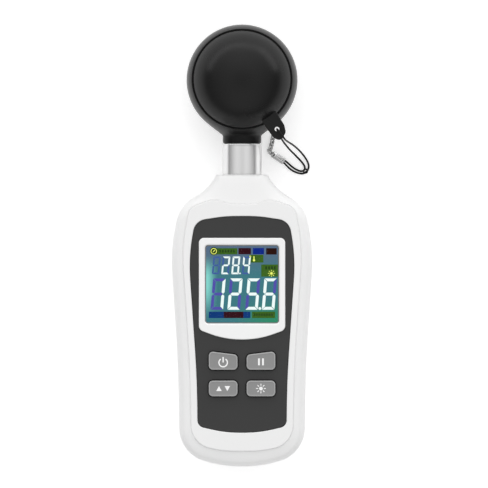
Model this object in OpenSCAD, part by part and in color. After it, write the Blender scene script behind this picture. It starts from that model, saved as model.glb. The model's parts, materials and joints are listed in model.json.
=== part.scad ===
// Handheld light meter with a swivelling sensor head and a tethered sensor cap.
// Millimetres. +X right, +Y towards the head, +Z out of the display. The back lies on z = 0.

/* [Body] */
// Greatest width across the two case shells
body_w = 50.8; // [50:0.5:62]
// Width of the case near its tail
tail_w = 46; // [45:0.5:50]
// Y of the tail end of the case
tail_y = -80; // [-96:1:-78]
// Y of the flat top of the case, where the collar leaves it
top_y = 25.6; // [25:0.5:32]
// Width of the flat top of the case
top_w = 18.6; // [18:0.2:24]
// Height of the parting line between the shells, and of the collar's axis
seam_z = 14; // [13.5:0.5:17]
// Height of the case at its shoulder line, under the raised face
case_t = 26.8; // [26.5:0.2:32]
// Height of the raised face above the shoulder line
face_rise = 0.9; // [0.4:0.1:1.5]
// Wall thickness of the case shells
case_wall = 2; // [1.6:0.1:2.4]

/* [Front panel and display] */
// Width of the dark panel at its widest
panel_w = 37.6; // [36:0.2:38.4]
// Thickness of the dark panel
panel_t = 1.2; // [0.8:0.1:1.4]
// Depth of the panel's face below the raised face of the case
panel_sink = 0.3; // [0:0.05:0.5]
// Width of the visible display window
window_w = 26.2; // [22:0.2:26.4]
// Length of the visible display window
window_l = 27.8; // [24:0.2:28.4]
// Y of the top edge of the visible display window
window_top_y = -0.1; // [-0.5:0.1:0]
// Width of the white frame round the window
bezel_w = 31.1; // [31:0.1:32]
// Height of the white frame above the dark panel
bezel_rise = 0.6; // [0.3:0.1:0.9]
// Thickness of the clear window
lens_t = 0.8; // [0.6:0.1:0.9]

/* [Buttons] */
// Width of each button
button_w = 10.4; // [8:0.2:11]
// Distance of each button column from the centre line
button_x = 6.8; // [6.2:0.1:7.2]
// Height of the buttons above the dark panel
button_rise = 1.3; // [1:0.1:1.8]
// Travel of a button from rest to its stop
button_travel = 0.8; // [0.4:0.1:0.8]

/* [Battery bay] */
// Diameter of one cell
cell_d = 10.5; // [10:0.1:10.6]
// Length of one cell without its nipple
cell_l = 43.7; // [42:0.1:44]
// Width of the battery door
door_w = 34.8; // [34:0.2:35.4]
// Thickness of the battery door
door_t = 1.8; // [1.4:0.1:2]

/* [Neck] */
// Diameter of the metal collar
collar_d = 14.4; // [13.6:0.1:15.6]
// Wall of the metal collar
collar_wall = 1.4; // [1.2:0.1:1.6]
// Y of the collar's free end
collar_end_y = 36.8; // [36:0.2:37]
// Diameter of the hollow spindle that the head turns on
spindle_d = 9.8; // [9:0.1:10]

/* [Sensor head] */
// Diameter of the ball-shaped head
head_d = 40.2; // [39.6:0.2:41]
// Y of the head's centre
head_y = 59.9; // [59.5:0.1:60.5]
// Height of the ball's centre
ball_z = 17; // [16.5:0.1:17.5]
// Height of the ball's front edge, round the cap
rim_z = 25; // [24.6:0.1:25.2]
// Diameter of the white diffuser dome
dome_d = 30; // [28:0.2:31]
// Height of the dome above its flange
dome_h = 11.5; // [9:0.5:12]
// Diameter of the cap
cap_d = 35.4; // [35:0.1:35.8]
// Height of the cap's crown above the ball's front edge
crown_h = 11.6; // [11.4:0.1:12.5]

/* [Lanyard] */
// Diameter of the cord
cord_d = 0.7; // [0.5:0.05:0.8]
// Diameter of the crimped metal ferrule
ferrule_d = 2.7; // [2.4:0.1:3]
// Length of the ferrule
ferrule_l = 5.3; // [4.8:0.1:5.6]

/* [Fits] */
// Running clearance between the spindle and its bush, on the radius
spindle_gap = 0.05; // [0.02:0.01:0.1]
// Clearance between the cap and the ball's front edge, on the radius
cap_gap = 0.15; // [0.1:0.01:0.2]
// Clearance round a button
button_gap = 0.25; // [0.15:0.05:0.35]
// Clearance between pieces that drop into a seat
seat_gap = 0.1; // [0.05:0.01:0.15]
// Clearance round the battery door
door_gap = 0.2; // [0.15:0.05:0.3]
// Diameter of a machine screw's shank
screw_d = 2; // [1.8:0.1:2.4]

/* [Hidden] */
$fn = 64;
eps = 0.01;

// ---- heights of the stack under the face ----
face_z = case_t + face_rise;
panel_top_z = face_z - panel_sink;
panel_z = panel_top_z - panel_t;
face_wall = 2;
front_inner_z = case_t - face_wall;
bezel_z = panel_top_z + bezel_rise;
lens_z = panel_z;
glass_t = 1.8;
glass_z = front_inner_z - seat_gap - glass_t;
backlight_t = 2.2;
backlight_z = glass_z - backlight_t;
board_t = 1.6;
board_z = 17.4;
board_top_z = board_z + board_t;
mat_t = 0.9;
mat_z = front_inner_z - seat_gap - mat_t;
plunger_z = mat_z - 0.9;
button_z = plunger_z + button_travel + 0.1;
button_top_z = panel_top_z + button_rise;

// ---- plan outlines: [x, y, corner radius, arc steps] up the right-hand side ----
tail_half = tail_w / 2;
body_half = body_w / 2;
top_half = top_w / 2;
body_side = [
    [6.5, tail_y, 45, 3],
    [tail_half - 0.3, tail_y + 4.5, 12.5, 9],
    [tail_half, tail_y + 35, 500, 3],
    [body_half + 0.5, -1, 66, 6],
    [body_half - 2.9, top_y - 11.1, 12.5, 6],
    [top_half + 2.7, top_y - 5.1, 18, 4],
    [top_half, top_y, 0.8, 3]
];
shoulder_inset = 3.9;
face_half = body_half - shoulder_inset;
face_side = [
    [7, tail_y + 5.5, 40, 3],
    [tail_half - shoulder_inset - 0.4, tail_y + 8.2, 9, 8],
    [tail_half - shoulder_inset, tail_y + 35, 500, 3],
    [face_half + 0.5, -1, 66, 6],
    [face_half - 2.1, top_y - 11.8, 5, 6],
    [10.5, top_y - 8.6, 7, 4],
    [4.2, top_y - 10.4, 6, 4]
];
panel_half = panel_w / 2;
panel_tail_y = tail_y + 12.6;
panel_side = [
    [6, panel_tail_y, 45, 3],
    [panel_half - 2.8, panel_tail_y + 2.3, 4.6, 7],
    [panel_half - 2.8, panel_tail_y + 17, 600, 3],
    [panel_half + 0.4, -3.5, 67, 6],
    [panel_half - 2, 8.8, 5, 7],
    [5.8, 10.5, 50, 3]
];
bezel_half = bezel_w / 2;
bezel_side = [
    [6, -33.9, 34, 6],
    [bezel_half, -30.4, 2.2, 6],
    [bezel_half, 2.7, 1.8, 5]
];
window_y = window_top_y - window_l / 2;
lens_lap = 0.8;
glass_w = 31;
glass_l = 34.4;
glass_y = window_y - 1;

// ---- neck and head ----
collar_r = collar_d / 2;
collar_bore_r = collar_r - collar_wall;
collar_y = top_y - 5.6;
bush_flange_t = 0.35;
neck_y = collar_end_y + bush_flange_t + 0.05;
spindle_r = spindle_d / 2;
spindle_bore_r = 2.6;
washer_t = 0.9;
ring_t = 1;
washer_y = collar_y - 0.1 - washer_t;
ring_y = washer_y - 0.1 - ring_t;
spindle_y = ring_y - 1;
spindle_end_y = head_y - 13.9;
spindle_flange_y = head_y - 17.4;
flange_r = spindle_r + 1.6;
cable_r = 1.4;
cable_join_y = spindle_y - 2.5;
head_r = head_d / 2;
head_wall = 1.9;
head_back_z = 1;
head_light_r = 10.6;
cap_r = cap_d / 2;
cap_seat_z = rim_z - 1.6;
dome_r = dome_d / 2;
dome_flange_r = dome_r + 1.4;
dome_flange_t = 1.2;
dome_z = cap_seat_z - 0.8;
dome_seat_z = dome_z - dome_flange_t;
dome_sphere_r = (dome_r * dome_r + dome_h * dome_h) / (2 * dome_h);
dome_sphere_z = dome_z + dome_h - dome_sphere_r;
dome_t = 1.6;
sensor_board_z = seam_z + cable_r + 0.1;
sensor_board_t = 1.2;
diode_z = sensor_board_z + sensor_board_t;
diode_h = 2;
filter_z = diode_z + diode_h + 0.1;
filter_h = 1.4;
head_screw_ring_r = 13.2;
head_screw_angles = [90, 210, 330];

// ---- cap ----
cap_rim_z = cap_seat_z + 0.2;
crown_edge_z = rim_z + 0.6;
crown_rise = crown_h - 0.6;
crown_sphere_r = (cap_r * cap_r + crown_rise * crown_rise) / (2 * crown_rise);
crown_sphere_z = rim_z + crown_h - crown_sphere_r;
cap_wall = 1.8;
ear_z = rim_z + 0.3;
ear_t = 2.2;
ear_hole_r = 1;
ear_hole = [12.6, head_y - 18];
ear_outline = [
    [5.4, 47, 0.2, 2], [8.1, 43.2, 0.8, 4], [11.3, 38.8, 1.6, 5],
    [14.1, 37.4, 1.8, 5], [15.8, 40.8, 1.8, 5], [15.2, 43.4, 1.2, 4], [11.4, 49.6, 0.2, 2]
];

// ---- lanyard ----
// Route of the cord's middle: out of the ferrule, round the bead, through the ear and back again
cord_route = [
    [14.9, 31.5, 1.4], [15.8, 30.9, 1.4], [16.8, 30.1, 1.2], [17.9, 29.1, 0.8], [19.1, 28.2, 0.5],
    [20.2, 27.6, 0.4], [21.4, 27.2, 0.4], [22.3, 27.3, 0.4], [22.9, 27.9, 0.4], [22.9, 28.8, 0.4],
    [22.3, 29.9, 0.4], [21.3, 31.1, 0.8], [20.2, 32.2, 1.8], [19.1, 33.3, 3.4], [18, 34.3, 5.6],
    [17, 35.3, 8], [16, 36.4, 10.8], [15.1, 37.5, 13.8], [14.3, 38.6, 16.8], [13.6, 39.7, 19.8],
    [13, 40.8, 22.6], [12.7, 41.6, 24.6], [12.6, 41.9, 26.4], [12.8, 41.6, 28], [13.3, 41, 29.3],
    [14, 40.1, 29.9], [14.8, 39, 29.7], [15.3, 38.3, 28.7], [15.6, 38, 27], [15.8, 37.9, 24.8],
    [16.2, 37.7, 21.8], [16.8, 37.4, 18.6], [17.6, 37, 15.2], [18.5, 36.5, 11.8], [19.5, 35.8, 8.6],
    [20.6, 34.9, 5.6], [21.7, 33.8, 3.2], [22.7, 32.6, 1.4], [23.6, 31.3, 0.6], [24.2, 30, 0.4],
    [24.4, 28.8, 0.4], [24.1, 27.7, 0.4], [23.3, 26.8, 0.4], [22.2, 26.3, 0.4], [20.9, 26.4, 0.4],
    [19.6, 26.8, 0.4], [18.4, 27.4, 0.5], [17.2, 28.3, 0.8], [16.1, 29.4, 1.2], [15.3, 30.2, 1.4],
    [14.5, 30.8, 1.4]
];
bead_at = [23.2, 27.2];
bead_r = 0.7;
bead_wire_r = 0.3;
ferrule_at = [13.2, 32.1];
ferrule_turn = -33;
ferrule_z = ferrule_d / 2 + 0.05;
ferrule_bore_r = 0.95;
ferrule_bore_l = 1.3;
tab_l = 1.7;
tab_t = 1;
eye_x = 0.95;
eye_r = 0.5;
link_r = 0.85;
link_wire_r = 0.2;
// Each chain link: x, y, z, heading, and whether it stands on edge
chain_links = [
    [10.9, 33.6, 1.4, 147, true], [10.1, 34.4, 1.3, 0, false], [10.4, 35.5, 1.2, 76, true],
    [10.7, 36.6, 1.1, 0, false], [11, 37.8, 1.1, 76, true], [11.2, 38.9, 1.1, 0, false],
    [11.5, 40, 1.1, 76, true]
];

// ---- battery bay ----
cell_pitch = cell_d + 0.4;
cell_count = 3;
cell_top_y = -14;
cell_tail_y = cell_top_y - cell_l;
cell_z = door_t + 0.4 + cell_d / 2;
nipple_l = 0.8;
spring_l = 3.2;
plate_t = 0.4;
bay_half = cell_pitch + cell_d / 2 + 0.3;
bay_top_y = cell_top_y + nipple_l + plate_t;
bay_tail_y = cell_tail_y - spring_l - plate_t;
bay_wall = 1.2;
bay_wall_z = 12;
door_top_y = bay_top_y + 2;
door_half = door_w / 2;
door_tongue = 0.8;
rear_floor_z = door_t + door_gap + 1.6;

// ---- screws and bosses ----
shell_bosses = [[13.6, 14.1], [-13.6, 14.1], [14, tail_y + 10.5], [-14, tail_y + 10.5]];
board_bosses = [[16.4, 7.4], [-16.4, 7.4], [16.6, -58.5], [-16.6, -58.5]];
shell_boss_r = 3;
board_boss_r = 2.2;
screw_r = screw_d / 2;
screw_head_r = screw_r * 1.9;
screw_head_h = 1.4;
shell_screw_l = 12;
board_screw_l = 6;
insert_r = 4.8;
insert_bore_r = 2.55;
insert_l = 8;
insert_y = 2;
board_half = 19.2;
board_tail_y = -62;
board_head_y = 10.8;

// ---- buttons: centre, with the slant of the upper row's top edge ----
upper_row_y = -41.9;
lower_row_y = -51.6;
upper_half = 3.3;
lower_half = 3;
slant = 0.65;
button_corner = 1;

// ---- colours ----
case_white = [0.92, 0.92, 0.93];
panel_grey = [0.24, 0.24, 0.25];
button_grey = [0.54, 0.54, 0.55];
satin_metal = [0.78, 0.78, 0.80];
cap_black = [0.10, 0.10, 0.11];
board_green = [0.08, 0.36, 0.20];

// Unit vector along v
function unit(v) = v / norm(v);

// Points of one rounded corner c between its neighbours p and n
function corner_arc(p, c, n, r, steps) =
    let (
        a = unit(p - c),
        b = unit(n - c),
        half = acos(a * b) / 2,
        centre = c + unit(a + b) * r / sin(half),
        start = c + a * r / tan(half) - centre,
        side = cross(c - p, n - c) > 0 ? 1 : -1,
        sweep = side * (180 - 2 * half)
    )
    [for (k = [0 : steps]) let (t = sweep * k / steps)
        centre + [start.x * cos(t) - start.y * sin(t), start.x * sin(t) + start.y * cos(t)]];

// The right-hand side of an outline joined to its mirror image, anticlockwise
function mirrored(p) = [-p[0], p[1], p[2], p[3]];
function both_sides(side) = concat(side, [for (i = [len(side) - 1 : -1 : 0]) mirrored(side[i])]);

function spot(c) = [c[0], c[1]];
function before(list, i) = list[(i + len(list) - 1) % len(list)];
function after(list, i) = list[(i + 1) % len(list)];

// One corner of an outline moved inwards by d, with its radius grown or shrunk to match
function inset_corner(list, i, d) =
    let (
        c = spot(list[i]),
        e1 = unit(c - spot(before(list, i))),
        e2 = unit(spot(after(list, i)) - c),
        n1 = [-e1.y, e1.x],
        n2 = [-e2.y, e2.x],
        moved = c + d * (n1 + n2) / (1 + n1 * n2),
        r = cross(e1, e2) > 0 ? max(list[i][2] - d, 0.3) : list[i][2] + d
    )
    [moved.x, moved.y, r, list[i][3]];

function inset(list, d) = [for (i = [0 : len(list) - 1]) inset_corner(list, i, d)];

// Length from a corner to where its arc begins
function tangent_length(list, i) =
    let (
        a = unit(spot(before(list, i)) - spot(list[i])),
        b = unit(spot(after(list, i)) - spot(list[i]))
    )
    list[i][2] / tan(acos(a * b) / 2);

// Share of a corner's radius that its two edges have room for
function room(list, i) =
    let (
        t = tangent_length(list, i),
        back = norm(spot(list[i]) - spot(before(list, i))),
        ahead = norm(spot(after(list, i)) - spot(list[i])),
        t_back = tangent_length(list, (i + len(list) - 1) % len(list)),
        t_ahead = tangent_length(list, (i + 1) % len(list))
    )
    0.98 * min(1 / 0.98, back / (t + t_back), ahead / (t + t_ahead));

// Rounded points of a closed outline of corners, moved inwards by d
function rounded(corners, d = 0) =
    let (list = d == 0 ? corners : inset(corners, d))
    [for (i = [0 : len(list) - 1])
        each corner_arc(spot(before(list, i)), spot(list[i]), spot(after(list, i)),
            list[i][2] * room(list, i), list[i][3])];

// Solid through a stack of rings [z, inset] of one outline
module loft(corners, rings) {
    outlines = [for (ring = rings) rounded(corners, ring[1])];
    n = len(outlines[0]);
    top = len(rings) - 1;
    points = [for (i = [0 : top]) for (p = outlines[i]) [p.x, p.y, rings[i][0]]];
    sides = [for (i = [0 : top - 1]) for (j = [0 : n - 1])
        let (a = i * n + j, b = i * n + (j + 1) % n)
        each [[a, a + n, b + n], [a, b + n, b]]];
    lower_cap = [for (j = [0 : n - 1]) j];
    upper_cap = [for (j = [n - 1 : -1 : 0]) top * n + j];
    polyhedron(points, concat(sides, [lower_cap, upper_cap]));
}

// Plate of a rounded outline
module plate(corners, z, t, d = 0) {
    translate([0, 0, z])
        linear_extrude(t)
            polygon(rounded(corners, d));
}

module block(x0, x1, y0, y1, z0, z1) {
    translate([x0, y0, z0])
        cube([x1 - x0, y1 - y0, z1 - z0]);
}

// Cylinder along Y on the neck's axis
module neck_rod(r, y0, y1) {
    translate([0, y0, seam_z])
        rotate([-90, 0, 0])
            cylinder(r = r, h = y1 - y0);
}

module neck_tube(r, bore, y0, y1) {
    difference() {
        neck_rod(r, y0, y1);
        neck_rod(bore, y0 - 1, y1 + 1);
    }
}

module post(spot, r, z0, z1) {
    translate([spot.x, spot.y, z0])
        cylinder(r = r, h = z1 - z0);
}

// Twist-free direction frames [tangent, side] along a route
function heading(route, i) = unit(route[min(i + 1, len(route) - 1)] - route[max(i - 1, 0)]);
function frames(route, i, last) =
    i == len(route) ? [] :
    let (t = heading(route, i), v = unit(last - (last * t) * t))
    concat([[t, v]], frames(route, i + 1, v));

// Round tube swept along a route of points
module swept_tube(route, r, sides, first_side) {
    turns = frames(route, 0, first_side);
    top = len(route) - 1;
    points = [for (i = [0 : top]) for (j = [0 : sides - 1])
        let (t = turns[i][0], v = turns[i][1], w = cross(t, v), a = 360 * j / sides)
        route[i] + r * (cos(a) * v + sin(a) * w)];
    walls = [for (i = [0 : top - 1]) for (j = [0 : sides - 1])
        let (a = i * sides + j, b = i * sides + (j + 1) % sides)
        each [[a, a + sides, b + sides], [a, b + sides, b]]];
    polyhedron(points, concat(walls, [[for (j = [0 : sides - 1]) j]],
        [[for (j = [sides - 1 : -1 : 0]) top * sides + j]]));
}

// ---- case ----
rear_rings = [[0, 5], [0.8, 2.7], [2.6, 1], [5.5, 0.2], [seam_z, 0]];
front_rings = [[seam_z, 0], [20, 0.2], [23.5, 1.1], [25.6, 2.5], [case_t, shoulder_inset]];

module case_outer(rings) {
    loft(both_sides(body_side), rings);
}

module case_cavity(z0, d0, z1, d1, z2, d2) {
    loft(both_sides(body_side), [[z0, d0], [z1, d1], [z2, d2]]);
}

module button_hole(x, y, half, slope) {
    translate([0, 0, mat_z - 1])
        linear_extrude(face_z)
            polygon(button_outline(x, y, half, slope, -button_gap));
}

// Outline of one button, whose top edge falls by slope towards the centre line
function button_outline(x, y, half, slope, d) =
    let (
        w = button_w / 2,
        left_drop = x > 0 ? slope : -slope,
        corners = [
            [x - w, y - half, button_corner, 4], [x + w, y - half, button_corner, 4],
            [x + w, y + half + left_drop, button_corner, 4], [x - w, y + half - left_drop, button_corner, 4]
        ]
    )
    rounded(corners, d);

module button_holes() {
    for (x = [-button_x, button_x]) {
        button_hole(x, upper_row_y, upper_half, slant);
        button_hole(x, lower_row_y, lower_half, 0);
    }
}

module window_hole(grow) {
    block(-window_w / 2 - grow, window_w / 2 + grow, window_y - window_l / 2 - grow,
        window_y + window_l / 2 + grow, glass_z, face_z + 2);
}

module collar_seat() {
    neck_rod(collar_r, collar_y, top_y + 1);
    neck_rod(collar_bore_r, spindle_y - 8, collar_y + 1);
    neck_rod(collar_r + 0.3, spindle_y - 4, collar_y - 1.6);
}

module front_shell() {
    color(case_white)
        difference() {
            union() {
                difference() {
                    union() {
                        case_outer(front_rings);
                        plate(both_sides(face_side), case_t - 0.5, face_rise + 0.5);
                    }
                    case_cavity(seam_z - 1, case_wall, 21, case_wall + 0.4, front_inner_z,
                        shoulder_inset + 1);
                }
                for (spot = shell_bosses)
                    post(spot, shell_boss_r, seam_z, front_inner_z + 0.5);
                for (spot = board_bosses)
                    post(spot, board_boss_r, board_top_z, front_inner_z + 0.5);
                block(-top_half + 1, top_half - 1, spindle_y, top_y - 1, seam_z, front_inner_z - 1);
            }
            collar_seat();
            block(-collar_r - 0.3, collar_r + 0.3, ring_y - 0.6, collar_y, seam_z - 1, seam_z + collar_r);
            plate(both_sides(panel_side), panel_z, panel_t + 1, -seat_gap);
            window_hole(0);
            button_holes();
            for (spot = shell_bosses)
                post(spot, screw_r, seam_z - 1, seam_z + 8);
            for (spot = board_bosses)
                post(spot, screw_r, board_top_z - 1, board_top_z + 4.6);
        }
}

module rear_shell() {
    color(case_white)
        difference() {
            union() {
                difference() {
                    case_outer(rear_rings);
                    case_cavity(rear_floor_z, shoulder_inset, 6, case_wall + 0.4, seam_z + 1, case_wall);
                }
                difference() {
                    block(-bay_half - bay_wall, bay_half + bay_wall, bay_tail_y - bay_wall,
                        bay_top_y + bay_wall, rear_floor_z - 0.5, bay_wall_z);
                    block(-bay_half, bay_half, bay_tail_y, bay_top_y, 0, bay_wall_z + 1);
                }
                for (spot = shell_bosses)
                    post(spot, shell_boss_r, rear_floor_z - 0.5, seam_z);
                post([0, insert_y], insert_r + 2, rear_floor_z - 0.5, insert_l + 1);
                block(-top_half + 1, top_half - 1, spindle_y, top_y - 1, rear_floor_z - 0.5, seam_z);
            }
            collar_seat();
            block(-collar_r - 0.3, collar_r + 0.3, ring_y - 0.6, collar_y, seam_z - collar_r, seam_z + 1);
            block(-bay_half, bay_half, bay_tail_y, bay_top_y, -1, bay_wall_z + 1);
            block(-door_half - door_gap, door_half + door_gap, tail_y - 1, door_top_y + door_gap,
                -1, door_t + door_gap);
            block(-door_half - door_tongue - door_gap, door_half + door_tongue + door_gap,
                tail_y - 1, door_top_y + door_gap, 0.5, 1.4);
            post([0, insert_y], insert_r, -1, insert_l);
            for (spot = shell_bosses) {
                post(spot, screw_r + seat_gap, -1, seam_z + 1);
                post(spot, screw_head_r + 0.2, -1, seam_z - shell_screw_l + 5);
            }
        }
}

module battery_door() {
    color(case_white)
        difference() {
            union() {
                intersection() {
                    case_outer(rear_rings);
                    block(-door_half, door_half, tail_y - 1, door_top_y, -1, door_t);
                }
                block(-door_half - door_tongue, door_half + door_tongue,
                    bay_tail_y - 5.8, door_top_y - 1, 0.6, 1.2);
            }
            for (i = [0 : 3])
                block(-7, 7, bay_tail_y - 4.4 + 2 * i, bay_tail_y - 3.6 + 2 * i, -1, 0.4);
        }
}

module front_panel() {
    color(panel_grey)
        difference() {
            plate(both_sides(panel_side), panel_z, panel_t);
            plate(both_sides(bezel_side), panel_z - 1, panel_t + 2, -seat_gap);
            button_holes();
        }
}

module window_frame() {
    color(case_white)
        difference() {
            plate(both_sides(bezel_side), panel_z, bezel_z - panel_z);
            window_hole(0);
            block(-window_w / 2 - lens_lap, window_w / 2 + lens_lap, window_y - window_l / 2 - lens_lap,
                window_y + window_l / 2 + lens_lap, panel_z - 1, lens_z + lens_t);
        }
}

module display_lens() {
    lap = lens_lap - seat_gap;
    color([0.8, 0.9, 0.95, 0.3])
        block(-window_w / 2 - lap, window_w / 2 + lap, window_y - window_l / 2 - lap,
            window_y + window_l / 2 + lap, lens_z, lens_z + lens_t - 0.02);
}

module lcd_layer(z, t) {
    block(-glass_w / 2, glass_w / 2, glass_y - glass_l / 2, glass_y + glass_l / 2, z, z + t);
}

module lcd_glass() {
    color([0.35, 0.6, 0.62])
        lcd_layer(glass_z, glass_t);
}

module lcd_backlight() {
    color([0.95, 0.97, 1])
        lcd_layer(backlight_z, backlight_t);
}

holder_wall = 1.5;
module lcd_holder() {
    half = glass_w / 2 + seat_gap;
    low = glass_y - glass_l / 2 - seat_gap;
    high = glass_y + glass_l / 2 + seat_gap;
    color([0.9, 0.9, 0.88])
        difference() {
            block(-half - holder_wall, half + holder_wall, low - holder_wall, high + holder_wall,
                board_top_z, glass_z + glass_t - 0.2);
            block(-half, half, low, high, backlight_z, front_inner_z);
            block(-glass_w / 2 + 2, glass_w / 2 - 2, low + 4, high - 2, board_top_z - 1, front_inner_z);
            block(-zebra_w / 2 - seat_gap, zebra_w / 2 + seat_gap,
                zebra_y - seat_gap, zebra_y + zebra_t + seat_gap, board_top_z - 1, front_inner_z);
        }
}

zebra_w = 26;
zebra_t = 1.6;
zebra_y = glass_y - glass_l / 2 + 1;
module zebra_strip() {
    color([0.85, 0.35, 0.55])
        block(-zebra_w / 2, zebra_w / 2, zebra_y, zebra_y + zebra_t, board_top_z, backlight_z);
}

module main_board() {
    color(board_green)
        difference() {
            block(-board_half, board_half, board_tail_y, board_head_y, board_z, board_top_z);
            for (spot = board_bosses)
                post(spot, screw_r + seat_gap, board_z - 1, board_top_z + 1);
        }
}

chips = [
    [-6, -6, 10, 10, 1.4],
    [8, -10, 6, 5, 1.2],
    [-12, -30, 5, 4, 1.2],
    [6, -34, 8, 6, 1.4],
    [-4, -48, 5, 6, 1.2]
];
module board_components() {
    color([0.12, 0.12, 0.13])
        for (chip = chips)
            block(chip[0] - chip[2] / 2, chip[0] + chip[2] / 2, chip[1] - chip[3] / 2,
                chip[1] + chip[3] / 2, board_z - chip[4], board_z);
}

module thermistor() {
    color([0.2, 0.2, 0.22])
        post([-9, 8], 1.1, board_top_z, board_top_z + 1.6);
}

module button(x, y, half, slope) {
    color(button_grey)
        translate([0, 0, button_z])
            linear_extrude(button_top_z - button_z)
                polygon(button_outline(x, y, half, slope, 0));
}

module button_power() {
    button(-button_x, upper_row_y, upper_half, slant);
}

module button_hold() {
    button(button_x, upper_row_y, upper_half, slant);
}

module button_min_max() {
    button(-button_x, lower_row_y, lower_half, 0);
}

module button_units() {
    button(button_x, lower_row_y, lower_half, 0);
}

module keypad_mat() {
    color(button_grey)
        difference() {
            block(-14.2, 14.2, -57, -36.4, mat_z, mat_z + mat_t);
            button_holes();
        }
}

module tact_switches() {
    color([0.15, 0.15, 0.16])
        for (x = [-button_x, button_x])
            for (y = [upper_row_y, lower_row_y])
                union() {
                    block(x - 3, x + 3, y - 3, y + 3, board_top_z, board_top_z + 2.8);
                    post([x, y], 1.7, board_top_z + 2, plunger_z);
                }
}

module battery_cells() {
    color([0.15, 0.45, 0.30])
        for (i = [0 : cell_count - 1]) {
            way = i % 2 == 0 ? 1 : -1;
            translate([(i - 1) * cell_pitch, (cell_top_y + cell_tail_y) / 2, cell_z])
                rotate([-90 * way, 0, 0]) {
                    translate([0, 0, -cell_l / 2])
                        cylinder(r = cell_d / 2, h = cell_l);
                    translate([0, 0, cell_l / 2 - 1])
                        cylinder(r = 1.9, h = nipple_l + 1);
                }
        }
}

// Coil of one contact spring from its plate to the cell, its radius falling from base to tip
spring_turns = 3;
spring_steps = 12;
function spring_route(x, y0, way) = [for (k = [0 : spring_turns * spring_steps])
    let (s = k / (spring_turns * spring_steps), a = 360 * k / spring_steps, r = 3.6 - 1.4 * s)
    [x + r * cos(a), y0 + way * (0.35 + s * (spring_l - 0.7)), cell_z + r * sin(a)]];

module contact_springs() {
    color(satin_metal)
        for (i = [0 : cell_count - 1])
            if (i % 2 == 0)
                swept_tube(spring_route((i - 1) * cell_pitch, bay_tail_y + plate_t, 1), 0.3, 6, [1, 0, 0]);
}

module contact_plates() {
    color(satin_metal)
        for (i = [0 : cell_count - 1]) {
            x = (i - 1) * cell_pitch;
            block(x - 4, x + 4, bay_top_y - plate_t, bay_top_y, cell_z - 4, cell_z + 4);
            block(x - 4, x + 4, bay_tail_y, bay_tail_y + plate_t, cell_z - 4, cell_z + 4);
        }
}

module tripod_insert() {
    color([0.80, 0.66, 0.36])
        difference() {
            post([0, insert_y], insert_r, 0, insert_l);
            post([0, insert_y], insert_bore_r, -1, insert_l + 1);
        }
}

// Pan-head screw whose head lies towards -Z
module screw(spot, z_head, length) {
    post(spot, screw_head_r, z_head - screw_head_h, z_head);
    post(spot, screw_r - 0.02, z_head - eps, z_head + length);
}

module shell_screws() {
    color(satin_metal)
        for (spot = shell_bosses)
            union()
                screw(spot, seam_z - shell_screw_l + 5, shell_screw_l);
}

module board_screws() {
    color(satin_metal)
        for (spot = board_bosses)
            union()
                screw(spot, board_z, board_screw_l);
}

socket_w = 5;
socket_y = board_head_y - 4;
module board_cable() {
    color(cap_black)
        neck_rod(cable_r, socket_y, cable_join_y);
}

module cable_socket() {
    color([0.93, 0.9, 0.8])
        block(-socket_w / 2, socket_w / 2, socket_y - 4, socket_y, seam_z - 2, board_z);
}

// ---- neck ----
module neck_collar() {
    color(satin_metal)
        neck_tube(collar_r - 0.06, collar_bore_r, collar_y, collar_end_y);
}

module swivel_bushing() {
    color(cap_black)
        difference() {
            union() {
                neck_rod(collar_bore_r - 0.04, collar_y, collar_end_y + eps);
                neck_rod(collar_r - 0.7, collar_end_y, collar_end_y + bush_flange_t);
            }
            neck_rod(spindle_r + spindle_gap, collar_y - 1, collar_end_y + 1);
        }
}

module friction_washer() {
    color(satin_metal)
        neck_tube(collar_r - 0.4, spindle_r + 0.3, washer_y, washer_y + washer_t);
}

groove_r = spindle_r - 0.6;
module swivel_spindle() {
    color(satin_metal)
        difference() {
            union() {
                neck_rod(spindle_r, spindle_y, spindle_end_y);
                neck_rod(flange_r, spindle_flange_y, spindle_flange_y + 1.5);
            }
            neck_rod(spindle_bore_r, spindle_y - 1, spindle_end_y + 1);
            difference() {
                neck_rod(spindle_r + 1, ring_y - 0.05, ring_y + ring_t + 0.05);
                neck_rod(groove_r, ring_y - 1, ring_y + 2);
            }
        }
}

module retaining_ring() {
    color(satin_metal)
        neck_tube(spindle_r + 1.7, groove_r + 0.02, ring_y, ring_y + ring_t);
}

module sensor_cable() {
    color(cap_black)
        neck_rod(cable_r, cable_join_y, head_y - 8);
}

// ---- head ----
// Half-profile of the neck's outside, from the collar to the ball
neck_profile = [[0, 0], [7, 0], [7.1, 0.8], [7.35, 1.8], [7.9, 3], [8.6, 4], [9.2, 4.6], [9.2, 6], [0, 6]];
module neck_solid() {
    translate([0, neck_y, seam_z])
        rotate([-90, 0, 0])
            rotate_extrude()
                polygon(neck_profile);
}

module ball(r) {
    translate([0, head_y, ball_z])
        sphere(r = r);
}

module slab(z0, z1) {
    block(-head_d, head_d, neck_y - 1, head_y + head_d, z0, z1);
}

module head_disc(r, z0, z1) {
    translate([0, head_y, z0])
        cylinder(r = r, h = z1 - z0);
}

module head_posts(r, z0, z1) {
    for (angle = head_screw_angles)
        translate([head_screw_ring_r * cos(angle), head_y + head_screw_ring_r * sin(angle), z0])
            cylinder(r = r, h = z1 - z0);
}

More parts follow.
